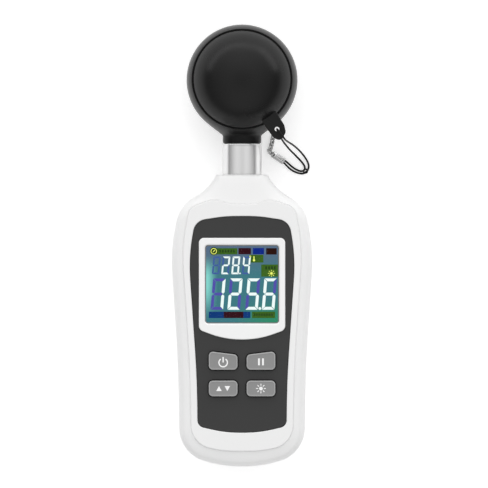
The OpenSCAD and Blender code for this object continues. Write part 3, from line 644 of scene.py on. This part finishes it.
def front_shell():
    """Outer skin from the seam over the shoulder to the crease, the raised face and the display's well, with
    painted shade on the well's walls and on the panel's seat.
    """
    shape = Shape()
    shoulder_z = case_high.z - 0.9
    side_z = seam_z + 6
    loops = [
        at_height(rounded(body_outline, 0.25), seam_z + 0.05),
        at_height(rounded(body_outline, 0.02), seam_z + 0.25),
        at_height(rounded(body_outline), seam_z + 0.6),
        at_height(rounded(body_outline), seam_z + 3),
    ]
    crease = rounded(crease_outline)
    steps = 16
    for k in range(steps + 1):
        a = math.pi / 2 * k / steps
        t = 1 - math.cos(a)
        share = smooth_step((t - 0.4) / 0.6)
        outer = front_outline(0.05 + (shoulder_inset - 0.4) * t)
        mixed = [p.lerp(q, share) for p, q in zip(outer, crease)]
        loops.append(at_height(mixed, side_z + (shoulder_z - side_z) * math.sin(a)))
    for d, drop in ((0.2, 0.04), (0.34, 0.11), (0.4, 0.18)):
        loops.append(at_height(rounded(crease_outline, d), shoulder_z - drop))
    for d, rise in ((0.45, -0.1), (0.48, 0.3), (0.51, 0.74), (0.57, 0.86), (0.68, 0.9)):
        loops.append(at_height(rounded(crease_outline, d), shoulder_z + rise))
    shape.loft(loops)
    recess = edge_rings(panel_outline, panel_low.z, face_z, -0.06, -0.3)
    shape.loft(inward(recess))
    shape.fill([loops[-1], recess[-1]], face_z)
    window = rounded(window_outline, -0.3)
    # The panel's seat is dark grey: painted shade in the gaps round the keys, partly standing in for the
    # keypad beneath
    shape.fill([recess[0], window], panel_low.z, mark=2)
    # The well's walls take mark 1: grey as painted shade down to the display
    well = [at_height(window, panel_low.z), at_height(window, glass_top + 0.02)]
    shape.loft(inward(well), mark=1)
    new_piece("front_shell_skin", shape.mesh("front_shell_skin"), "case", "case_white", ["front_shell"],
              [MATERIALS["case_white"], EDGE_PAINTED_SHADE, GAP_PAINTED_SHADE], sharp=40)


def front_panel():
    """Sheet with a hole for the display's frame and one for each button."""
    shape = Shape()
    holes = [inset(bezel_outline, -0.04)]
    holes += [inset(button_outline(*place), -0.28) for place in BUTTONS.values()]
    add_plate(shape, panel_outline, panel_low.z, panel_high.z, 0.12, 0.1, holes)
    new_piece("front_panel_sheet", shape.mesh("front_panel_sheet"), "case", "panel_grey", ["front_panel"])


def window_frame():
    """Raised border round the display, whose inner edge slopes down to the window, with a thin grey ring of
    painted shade where it meets the window.
    """
    shape = Shape()
    top = bezel_high.z
    outer = edge_rings(bezel_outline, bezel_low.z, top, 0, 0.35, 6)
    slope = ((-0.75, top), (-0.5, top - 0.05), (-0.32, top - 0.22), (-0.22, top - 0.5),
             (-0.18, lens_top + 0.02))
    inner = [at_height(rounded(window_outline, d), z) for d, z in slope]
    edge = [at_height(rounded(window_outline, d), lens_top + 0.03) for d in (-0.18, 0.16)]
    shape.loft(outer)
    shape.loft(inner)
    shape.fill([outer[-1], inner[0]], top)
    # Thin grey ring at the window's inner edge: painted shade
    shape.loft(edge, mark=1)
    new_piece("window_border", shape.mesh("window_border"), "case", "frame_white", ["window_frame"],
              [MATERIALS["frame_white"], EDGE_PAINTED_SHADE])


# ---------------------------------------------------------------- flat marks, printed or lit
def band(x, y, r0, r1, start, stop, steps=24):
    """Outline of a ring's stretch between two angles in degrees."""
    angles = [math.radians(start + (stop - start) * k / steps) for k in range(steps + 1)]
    outer = [Vector((x + r1 * math.cos(a), y + r1 * math.sin(a))) for a in angles]
    inner = [Vector((x + r0 * math.cos(a), y + r0 * math.sin(a))) for a in reversed(angles)]
    return outer + inner


def bar(x0, x1, y0, y1, radius=0.1):
    """Outline of an upright box."""
    return rounded(rounded_box(x0, x1, y0, y1, radius, 3))


def stroke(x0, y0, x1, y1, width):
    """Outline of a straight stroke between two points."""
    start = Vector((x0, y0))
    stop = Vector((x1, y1))
    side = (stop - start).normalized().orthogonal() * width / 2
    return [start - side, stop - side, stop + side, start + side]


def marks(name, outlines, z, height, material, body, slot):
    """Thin plates of some outlines, standing on height z."""
    shape = Shape()
    for outline in outlines:
        points = list(outline)
        area = sum(points[i - 1].cross(points[i]) for i in range(len(points)))
        if area < 0:
            points.reverse()
        shape.loft([at_height(points, z), at_height(points, z + height)])
        shape.fill([points], z + height)
    new_piece(name, shape.mesh(name), body, slot, materials=[material])


# ---------------------------------------------------------------- buttons
def sun(x, y, r, width):
    """Small disc with eight rays."""
    shapes = [circle(x, y, r * 0.38, 20)]
    for k in range(8):
        a = math.pi * k / 4
        c, s = math.cos(a), math.sin(a)
        shapes.append(stroke(x + r * 0.58 * c, y + r * 0.58 * s, x + r * c, y + r * s, width))
    return shapes


def triangle(x, y, half, height):
    return [Vector((x - half, y)), Vector((x + half, y)), Vector((x, y + height))]


def button_marks(name):
    """Outlines of a button's plain mark: a power sign, two bars, two triangles or a sun."""
    x = button_x * BUTTONS[name][0]
    y = BUTTONS[name][1]
    if name == "power":
        return [band(x, y - 0.4, 1.3, 1.75, 125, 415), bar(x - 0.24, x + 0.24, y - 0.4, y + 1.6)]
    if name == "hold":
        return [bar(start, start + 0.65, y - 1.4, y + 1.1, 0.12) for start in (x - 1.05, x + 0.4)]
    if name == "min_max":
        return [triangle(x - 1.5, y - 0.9, 1.0, 1.8), triangle(x + 1.5, y + 0.9, 1.0, -1.8)]
    return sun(x, y, 1.75, 0.3)


def button(name):
    """Rubber key: upright sides, a rounded rim painted lighter as a painted highlight, and a face sunk a
    little inside it.
    """
    outline = button_outline(*BUTTONS[name])
    low, high = box("button_" + name)
    top = high.z
    face = top - 0.1
    rim_highlight_start, rim_highlight_end = 2, 5
    rings = [(0, low.z), (0, top - 0.4), (0.04, top - 0.22), (0.14, top - 0.08), (0.28, top),
             (0.42, top - 0.02), (0.56, top - 0.08), (0.8, face)]
    loops = [at_height(rounded(outline, d), z) for d, z in rings]
    shape = Shape()
    shape.loft(loops[:rim_highlight_start + 1])
    # The rim's faces take mark 1: lighter grey as a painted highlight
    shape.loft(loops[rim_highlight_start:rim_highlight_end + 1], mark=1)
    shape.loft(loops[rim_highlight_end:])
    shape.fill([loops[-1]], face)
    body = "key_" + name
    new_piece(body, merged(shape.mesh(body)), body, "button_grey", ["button_" + name],
              [MATERIALS["button_grey"], KEY_RIM_PAINTED_HIGHLIGHT], sharp=50)
    marks("mark_" + name, button_marks(name), face - 0.01, 0.05, PRINT_WHITE, body, "button_grey")


# ---------------------------------------------------------------- display
SEGMENTS = {1: "bc", 2: "abged", 4: "fgbc", 5: "afgcd", 6: "afgedc", 8: "abcdefg"}


def segment(letter, x, y, width, height, thick, lean):
    """Outline of one segment of a seven-segment digit whose lower left corner is at x, y."""
    gap = thick * 0.12
    middle = height / 2
    bevel = thick * 0.5
    upright = {"f": (0, middle, height), "e": (0, 0, middle), "b": (1, middle, height), "c": (1, 0, middle)}
    if letter in upright:
        right, low, high = upright[letter]
        outer = width if right else 0
        inner = width - thick if right else thick
        centre = (outer + inner) / 2
        low_mid = low > 0
        points = [
            (centre if low_mid else outer, low + gap),
            (inner, low + (bevel if low_mid else thick) + gap),
            (inner, high - (thick if low_mid else bevel) - gap),
            (outer if low_mid else centre, high - gap),
            (outer, high - (0 if low_mid else bevel) - gap),
            (outer, low + (bevel if low_mid else 0) + gap)]
    elif letter == "g":
        left, right = thick + gap, width - thick - gap
        points = [(bevel + gap, middle), (left, middle - bevel), (right, middle - bevel),
                  (width - bevel - gap, middle), (right, middle + bevel), (left, middle + bevel)]
    else:
        base = 0 if letter == "d" else height
        depth = thick if letter == "d" else -thick
        points = [(gap, base), (width - gap, base), (width - thick - gap, base + depth),
                  (thick + gap, base + depth)]
    return [Vector((x + px + lean * py, y + py)) for px, py in points]


def digit(value, *place):
    """Outlines of the lit segments of a digit."""
    return [segment(letter, *place) for letter in SEGMENTS[value]]


def unlit(value, *place):
    """Outlines of the other segments of a digit."""
    return [segment(letter, *place) for letter in "abcdefg" if letter not in SEGMENTS[value]]


def display_mark(name, outlines, z, material):
    marks("display_" + name, outlines, z, 0.06, material, "case", "display_glass")


def display_digits(lit_z, ghost_z):
    """Small digits 28.4 over large digits 125.6, with their unlit segments."""
    small_y = -10.4
    small_size = (2.7, 6.4, 0.62, 0.09)
    large_y = -23.2
    large_size = (4.55, 11.3, 1.05, 0.085)
    white, violet = [], []
    blue = digit(8, -10.9, small_y, *small_size)
    for x, value in ((-7.5, 2), (-3.9, 8), (-0.1, 4)):
        white += digit(value, x, small_y, *small_size)
        blue += unlit(value, x, small_y, *small_size)
    for x, value in ((-11.4, 1), (-5.3, 2), (1.1, 5), (7.1, 6)):
        white += digit(value, x, large_y, *large_size)
        violet += unlit(value, x, large_y, *large_size)
    white += [circle(-0.75, small_y + 0.3, 0.28, 16), circle(6.4, large_y + 0.45, 0.5, 20)]
    display_mark("white", white, lit_z, LIT_WHITE)
    display_mark("unlit_large", violet, ghost_z, GHOST_VIOLET)
    display_mark("unlit_small", blue, ghost_z, GHOST_BLUE)


def ticks(x0, x1, y, count, height=0.9):
    """Row of short upright bars."""
    step = (x1 - x0) / count
    starts = [x0 + step * k for k in range(count)]
    return [bar(x, x + step * 0.55, y - height / 2, y + height / 2, 0.05) for x in starts]


def display():
    """Everything lit on the display: digits, coloured fields, rows of ticks and small yellow signs."""
    tint_z = glass_top + 0.02
    ghost_z = tint_z + 0.08
    lit_z = ghost_z + 0.08
    display_digits(lit_z, ghost_z)
    foot = (-26.2, -23.9)
    fields = {
        "olive": (TINT_OLIVE, [bar(-10.9, -1.7, -3.25, -1.0), bar(2.7, 7.7, -6.2, -3.4),
                               bar(6.9, 13.0, -11.3, -6.9), bar(3.6, 11.9, *foot)]),
        "red": (TINT_RED, [bar(-1.3, 3.2, -3.2, -0.95), bar(-6.6, 0.5, *foot)]),
        "blue": (TINT_BLUE, [bar(3.9, 7.9, -3.2, -0.95)]),
        "brown": (TINT_BROWN, [bar(8.7, 12.5, -3.3, -1.0)]),
        "navy": (TINT_NAVY, [bar(-12.0, -6.6, *foot), bar(0.5, 3.0, *foot)]),
    }
    for name, (material, outlines) in fields.items():
        display_mark(name, outlines, tint_z, material)
    clock_x, clock_y = -10.2, -2.1
    dark = ticks(-8.2, -2.2, -2.1, 6) + ticks(4.2, 11.4, -25, 8) + ticks(8.4, 12.6, -8.1, 4, 1.1)
    dark.append(circle(clock_x, clock_y, 1.45, 28))
    display_mark("dark", dark, ghost_z, TINT_DARK)
    clock = [band(clock_x, clock_y, 0.88, 1.12, 0, 360, 36),
             stroke(clock_x - 0.25, clock_y - 0.3, clock_x + 0.4, clock_y + 0.45, 0.26)]
    degree = [band(2.95, -4.0, 0.14, 0.32, 0, 360, 16)]
    thermometer = [circle(4.3, -5.35, 0.42, 16), bar(4.12, 4.48, -5.3, -3.9, 0.12)]
    yellow = clock + degree + thermometer + sun(10.6, -10.1, 1.25, 0.22)
    display_mark("yellow", yellow, lit_z, LIT_YELLOW)


# ---------------------------------------------------------------- neck and head
head_y = 59.9
ball_z = 17.0
ball_r = 20.1
neck_z = seam_z
neck_r = 7.0
neck_blend = 6.0
neck_rise_y = 37.8
neck_rise_length = 6.4
rim_z = 25.0
cap_r = 17.7
cap_gap = 0.05
rim_top_z = rim_z + 0.5
cap_bore_r = cap_r + cap_gap
cap_seat_z = rim_z - 1.6
dome_seat_z = dome_low.z
dome_flange_r = (dome_high.x - dome_low.x) / 2
screw_angles = (90, 210, 330)
screw_ring_r = 13.2


def neck_place(across, up, along):
    return (across, along, neck_z + up)


def head_place(across, up, height):
    return (across, head_y + up, height)


def neck_collar():
    """Metal collar: bevelled ends, a groove where it enters the case and a turned line by its other end."""
    low, high = collar_low.y, collar_high.y
    r = (collar_high.x - collar_low.x) / 2
    bore = r - 1.4
    bevel = 0.22
    groove_r = r - 0.18
    line_r = r - 0.08
    profile = [(bore, low), (r - bevel, low), (r, low + bevel), (r, top_y - 0.1), (groove_r, top_y),
               (groove_r, top_y + 0.2), (r, top_y + 0.3), (r, high - 0.75), (line_r, high - 0.65),
               (line_r, high - 0.5), (r, high - 0.4), (r, high - bevel), (r - 0.05, high - 0.08),
               (r - bevel, high), (bore, high)]
    shape = Shape()
    lathe(shape, profile, neck_place, 128)
    lathe(shape, [(bore, high), (bore, low)], neck_place, 128)
    new_piece("collar_tube", shape.mesh("collar_tube"), "case", "collar_metal", ["neck_collar"], sharp=30)


def head_section(y):
    """Centre height and radius of the head's round section at y: the neck running smoothly into the ball."""
    reach = ball_r ** 2 - (y - head_y) ** 2
    ball = math.sqrt(max(reach, 0))
    if y > head_y:
        return ball_z, ball
    share = min(max(0.5 + 0.5 * (ball - neck_r) / neck_blend, 0), 1)
    radius = neck_r + (ball - neck_r) * share + neck_blend * share * (1 - share)
    return neck_z + (ball_z - neck_z) * smooth_step((y - neck_rise_y) / neck_rise_length), radius


def head_part(name, bottom, top, shrink=0.0):
    """Mesh of the head's closed outer form between two heights, made slimmer by shrink."""
    low_y = bush_end + 0.05
    stations = [low_y + 0.06 * k for k in range(3)]
    stations += [low_y + 0.4 + 0.4 * k for k in range(18)]
    angle = math.acos((head_y - stations[-1]) / ball_r)
    steps = 44
    for k in range(1, steps + 1):
        stations.append(head_y - ball_r * math.cos(angle + (math.pi - angle) * k / steps))
    count = 120
    end_step = 0.12
    loops = []
    for y in stations:
        centre, r = head_section(y)
        if y < low_y + 0.1:
            r -= end_step
        r = max(r - shrink, 0.02)
        loops.append([(r * math.cos(a), y, centre + r * math.sin(a)) for a in turns(count)])
    shape = Shape()
    shape.loft(loops)
    shape.add(loops[0], [list(range(count))])
    shape.add(loops[-1], [list(reversed(range(count)))])
    mesh = shape.mesh(name)
    body = bmesh.new()
    body.from_mesh(mesh)
    bmesh.ops.remove_doubles(body, verts=body.verts, dist=1e-6)
    bmesh.ops.recalc_face_normals(body, faces=body.faces)
    for height, outward in ((bottom, -1), (top, 1)):
        everything = body.verts[:] + body.edges[:] + body.faces[:]
        cut = bmesh.ops.bisect_plane(body, geom=everything, dist=1e-7, plane_co=(0, 0, height * MM),
                                     plane_no=(0, 0, outward), clear_outer=True)
        edges = [item for item in cut["geom_cut"] if isinstance(item, bmesh.types.BMEdge)]
        bmesh.ops.holes_fill(body, edges=edges)
    bmesh.ops.recalc_face_normals(body, faces=body.faces)
    body.to_mesh(mesh)
    body.free()
    return mesh


def head_housing():
    """Front half with the cap's recess, rear half with its screw pits, and a lip inside the seam."""
    seam_gap = 0.06
    lip_half = 0.3
    above = rim_z + 3
    well_r = 10.6
    well_z = dome_seat_z - 4
    flange_r = dome_flange_r + 0.05
    recess = [(0, well_z), (well_r, well_z), (well_r, dome_seat_z), (flange_r, dome_seat_z),
              (flange_r, cap_seat_z), (cap_bore_r, cap_seat_z), (cap_bore_r, rim_top_z - 0.06),
              (cap_bore_r + 0.08, rim_top_z + 0.02), (cap_bore_r + 1, above), (0, above)]
    front = carved(head_part("head_front_skin", seam_z + seam_gap, rim_top_z),
                   turned_solid("head_recess", recess, head_place, 128))
    new_piece("head_front_skin", front, "head", "head_black", ["head_front_shell"])
    new_piece("head_seam_lip", head_part("head_seam_lip", seam_z - lip_half, seam_z + lip_half, 0.25), "head",
              "head_black")
    rear = head_part("head_rear_skin", head_foot, seam_z - seam_gap)
    pit_r = 2.1
    pit_top = screw_foot + 1.4
    for angle in screw_angles:
        x = screw_ring_r * math.cos(math.radians(angle))
        y = screw_ring_r * math.sin(math.radians(angle))
        pit = turned_solid("screw_pit", [(0, -1), (pit_r, -1), (pit_r, pit_top), (0, pit_top)],
                           lambda across, up, height: (x + across, head_y + y + up, height), 40)
        rear = carved(rear, pit)
    new_piece("head_rear_skin", rear, "head", "head_black", ["head_rear_shell"])


# ---------------------------------------------------------------- cap
EAR_HOLE = (12.6, 41.9, 26.4)


def sensor_cap():
    """Cap with a skirt, a domed crown and the ear that holds the lanyard."""
    skirt_rise = 0.6
    crown_rise = cap_high.z - rim_z - skirt_rise
    crown_r = (cap_r ** 2 + crown_rise ** 2) / (2 * crown_rise)
    crown_z = cap_high.z - crown_r
    wall = 1.8
    edge = math.degrees(math.acos(cap_r / crown_r))
    bore = cap_r - wall
    inner_edge = math.degrees(math.acos(bore / (crown_r - wall)))
    profile = arc(0, crown_z, crown_r, 90, edge + 1.5, 30)
    profile += [(cap_r - 0.05, rim_z + 0.5), (cap_r, rim_z + 0.3), (cap_r, cap_low.z + 0.2),
                (cap_r - 0.2, cap_low.z), (bore, cap_low.z)]
    profile += arc(0, crown_z, crown_r - wall, inner_edge, 90, 24)
    shape = Shape()
    lathe(shape, profile, head_place, 144)
    ear = [[6.9, 45.3, 0.1, 2], [8.1, 43.2, 0.8, 6], [11.3, 38.8, 1.6, 10], [14.1, 37.4, 1.8, 10],
           [15.8, 40.8, 1.8, 10], [15.2, 43.4, 1.2, 6], [11.8, 48.95, 0.1, 2]]
    hole_r = 0.85
    hole_x, hole_y = EAR_HOLE[:2]
    hole = rounded_box(hole_x - hole_r, hole_x + hole_r, hole_y - hole_r, hole_y + hole_r, hole_r, 8)
    add_plate(shape, ear, rim_top_z + 0.1, rim_z + 2.5, 0.35, 0, [hole])
    new_piece("cap_shell", shape.mesh("cap_shell"), "cap", "cap_black", ["sensor_cap"], sharp=32)


# ---------------------------------------------------------------- lanyard
CORD_DIAMETER = 0.7
CORD_ROUTE = [
    (14.9, 31.5, 1.4), (15.8, 30.9, 1.4), (16.8, 30.1, 1.2), (17.9, 29.1, 0.8), (19.1, 28.2, 0.5),
    (20.2, 27.6, 0.4), (21.4, 27.2, 0.4), (22.3, 27.3, 0.4), (22.9, 27.9, 0.4), (22.9, 28.8, 0.4),
    (22.3, 29.9, 0.4), (21.3, 31.1, 0.8), (20.2, 32.2, 1.8), (19.1, 33.3, 3.4), (18, 34.3, 5.6),
    (17, 35.3, 8), (16, 36.4, 10.8), (15.1, 37.5, 13.8), (14.3, 38.6, 16.8), (13.6, 39.7, 19.8),
    (13, 40.8, 22.6), (12.7, 41.6, 24.6), (12.6, 41.9, 26.4), (12.8, 41.6, 28), (13.3, 41, 29.3),
    (14, 40.1, 29.9), (14.8, 39, 29.7), (15.3, 38.3, 28.7), (15.6, 38, 27), (15.8, 37.9, 24.8),
    (16.2, 37.7, 21.8), (16.8, 37.4, 18.6), (17.6, 37, 15.2), (18.5, 36.5, 11.8), (19.5, 35.8, 8.6),
    (20.6, 34.9, 5.6), (21.7, 33.8, 3.2), (22.7, 32.6, 1.4), (23.6, 31.3, 0.6), (24.2, 30, 0.4),
    (24.4, 28.8, 0.4), (24.1, 27.7, 0.4), (23.3, 26.8, 0.4), (22.2, 26.3, 0.4), (20.9, 26.4, 0.4),
    (19.6, 26.8, 0.4), (18.4, 27.4, 0.5), (17.2, 28.3, 0.8), (16.1, 29.4, 1.2), (15.3, 30.2, 1.4),
    (14.5, 30.8, 1.4)]
FERRULE = (13.2, 32.1, 1.4)
FERRULE_TURN = math.radians(-33)
FERRULE_LENGTH = 5.3
# Each link's place and heading in degrees
CHAIN_LINKS = [
    (10.9, 33.6, 1.4, 147), (10.1, 34.4, 1.3, 110), (10.4, 35.5, 1.2, 76), (10.7, 36.6, 1.1, 76),
    (11, 37.8, 1.1, 78), (11.2, 38.9, 1.1, 76), (11.5, 40, 1.1, 76)]


def ferrule():
    """Crimped metal tube with lengthwise creases, an eye for the chain and a bore for the cord's ends."""
    half = FERRULE_LENGTH / 2
    bore = 0.95
    eye_r = 0.5
    eye_x = -half + 0.95
    crease = 0.3
    crease_half = 0.14
    creases = [math.radians(angle) for angle in (52, 90, 128, 232, 270, 308)]

    def section(r, along, depth):
        points = []
        for a in turns(72):
            near = min(abs((a - middle + math.pi) % (2 * math.pi) - math.pi) for middle in creases)
            radius = r - depth * max(0, 1 - near / crease_half)
            points.append((along, radius * math.cos(a), radius * math.sin(a)))
        return points

    r = 1.35
    profile = [(0.01, -half, 0), (r - 0.3, -half, 0), (r - 0.08, -half + 0.08, 0), (r, -half + 0.3, 0),
               (r, -half + 1.5, 0), (r, -half + 1.8, crease), (r, half - 0.6, crease), (r, half - 0.4, 0),
               (r - 0.08, half - 0.08, 0), (r - 0.2, half, 0), (bore, half, 0), (bore, half - 1.3, 0),
               (0.01, half - 1.3, 0)]
    shape = Shape()
    shape.loft([section(*row) for row in profile])
    eye = turned_solid("ferrule_eye", [(0, -3), (eye_r, -3), (eye_r, 3), (0, 3)],
                       lambda across, up, height: (eye_x + across, up, height), 32)
    mesh = carved(merged(shape.mesh("ferrule_tube")), eye)
    mesh.transform(Matrix.Translation(metres(FERRULE)) @ Matrix.Rotation(FERRULE_TURN, 4, "Z"))
    return new_piece("ferrule_tube", mesh, "cap", "lanyard_metal", ["lanyard_ferrule"], sharp=40)


def chain():
    """Twisted oval links, each rolled about its own length the other way from the last."""
    wire = 0.3
    reach = 0.32
    width = 0.68
    shape = Shape()
    for index, (x, y, z, heading) in enumerate(CHAIN_LINKS):
        turn = Matrix.Rotation(math.radians(heading), 3, "Z")
        roll = Matrix.Rotation(math.radians(28 if index % 2 else -32), 3, "X")
        centre = Vector((x, y, z))
        loops = []
        for a in turns(28):
            out = Vector((math.cos(a), math.sin(a), 0))
            spine = Vector((math.copysign(reach, out.x) if abs(out.x) > 1e-6 else 0, 0, 0)) + out * width
            offsets = [out * math.cos(b) * wire + Vector((0, 0, math.sin(b) * wire)) for b in turns(10)]
            loops.append([centre + turn @ (roll @ (spine + offset)) for offset in offsets])
        shape.loft(loops, closed=True)
    mesh = merged(shape.mesh("chain_twist"))
    return new_piece("chain_twist", mesh, "cap", "lanyard_metal", ["lanyard_chain"], sharp=60)


def lanyard():
    """Thin cord in one loop, from the ferrule through the cap's ear and back."""
    curve = bpy.data.curves.new("lanyard_loop", "CURVE")
    curve.dimensions = "3D"
    curve.bevel_depth = CORD_DIAMETER / 2 * MM
    curve.bevel_resolution = 4
    curve.resolution_u = 4
    curve.use_fill_caps = True
    spline = curve.splines.new("BEZIER")
    spline.bezier_points.add(len(CORD_ROUTE) - 1)
    for knot, point in zip(spline.bezier_points, CORD_ROUTE):
        knot.co = metres(point)
        knot.handle_left_type = "AUTO"
        knot.handle_right_type = "AUTO"
    loop = bpy.data.objects.new("lanyard_loop", curve)
    curve.materials.append(MATERIALS["cord_black"])
    bpy.context.scene.collection.objects.link(loop)
    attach(loop, "cap")
    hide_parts("lanyard_cord")
    ferrule()
    chain()


# ---------------------------------------------------------------- floor, lamps and surroundings
def seen_strength(tree, strength):
    """Strength for rays from the camera, from glossy surfaces and through clear ones, and none for others."""
    path = tree.nodes.new("ShaderNodeLightPath")
    seen = path.outputs["Is Camera Ray"]
    for name in ("Is Glossy Ray", "Is Transmission Ray"):
        seen = arithmetic(tree, "MAXIMUM", seen, path.outputs[name])
    return arithmetic(tree, "MULTIPLY", seen, strength)


def floor_material():
    """Pale floor that the camera, metal and glass see nearly white, with the object's shadow on it."""
    material, tree, shader = start_material("floor_pale")
    shader.inputs["Roughness"].default_value = 0.9
    shader.inputs["Specular IOR Level"].default_value = 0
    tone = colour_mix(tree, noise_value(tree, 4, 2), (0.80, 0.80, 0.80, 1), (0.82, 0.82, 0.82, 1))
    tree.links.new(tone, shader.inputs["Base Color"])
    tree.links.new(seen_strength(tree, 0.45), shader.inputs["Emission Strength"])
    shader.inputs["Emission Color"].default_value = (1, 1, 1, 1)
    return material


def floor():
    half = 3000
    z = -0.05
    shape = Shape()
    shape.add([(-half, -half, z), (half, -half, z), (half, half, z), (-half, half, z)], [[0, 1, 2, 3]])
    mesh = shape.mesh("floor")
    mesh.materials.append(floor_material())
    plane = bpy.data.objects.new("floor", mesh)
    bpy.context.scene.collection.objects.link(plane)


# Brightness of the surroundings by height, from the horizon at 0 to the zenith at 1
SKY_STOPS = ((0.0, 0.9), (0.05, 0.8), (0.1, 0.16), (0.22, 0.4), (0.36, 0.9),
             (0.5, 1.06), (0.7, 1.04), (0.86, 0.96), (0.94, 0.84), (1.0, 0.62))


def sky():
    """Surroundings with a dark band low down, brightest half way up, dimmer to the sides and the tail."""
    world = bpy.data.worlds.new("surroundings")
    bpy.context.scene.world = world
    world.use_nodes = True
    tree = world.node_tree
    background = tree.nodes["Background"]
    place = tree.nodes.new("ShaderNodeTexCoord")
    split = tree.nodes.new("ShaderNodeSeparateXYZ")
    ramp = tree.nodes.new("ShaderNodeValToRGB")
    tree.links.new(place.outputs["Generated"], split.inputs["Vector"])
    tree.links.new(split.outputs["Z"], ramp.inputs["Fac"])
    elements = ramp.color_ramp.elements
    elements.remove(elements[1])
    for index, (position, value) in enumerate(SKY_STOPS):
        stop = elements[0] if index == 0 else elements.new(position)
        stop.position = position
        stop.color = (value, value, value, 1)
    tree.links.new(ramp.outputs["Color"], background.inputs["Color"])
    squared = arithmetic(tree, "MULTIPLY", split.outputs["X"], split.outputs["X"])
    sides = arithmetic(tree, "MULTIPLY_ADD", squared, -0.75, 1.14)
    total = arithmetic(tree, "MULTIPLY_ADD", split.outputs["Y"], 0.25, sides)
    tree.links.new(total, background.inputs["Strength"])


def lamp(name, place, size, power):
    """Soft oblong lamp that points at the middle of the object."""
    data = bpy.data.lights.new(name, "AREA")
    data.shape = "RECTANGLE"
    data.size = size[0] * MM
    data.size_y = size[1] * MM
    data.energy = power
    light = bpy.data.objects.new(name, data)
    light.location = metres(place)
    aim = metres((0, 0, 15)) - light.location
    light.rotation_euler = aim.to_track_quat("-Z", "Y").to_euler()
    bpy.context.scene.collection.objects.link(light)


# ---------------------------------------------------------------- making it all
lanyard()
front_shell()
front_panel()
window_frame()
for button_name in BUTTONS:
    button(button_name)
display()
neck_collar()
head_housing()
sensor_cap()
floor()
sky()
lamp("lamp_beyond", (0, 1000, 230), (1000, 220), 1.6)
lamp("lamp_left", (-820, 720, 250), (900, 240), 1.4)
lamp("lamp_right", (820, 720, 230), (900, 240), 1.9)
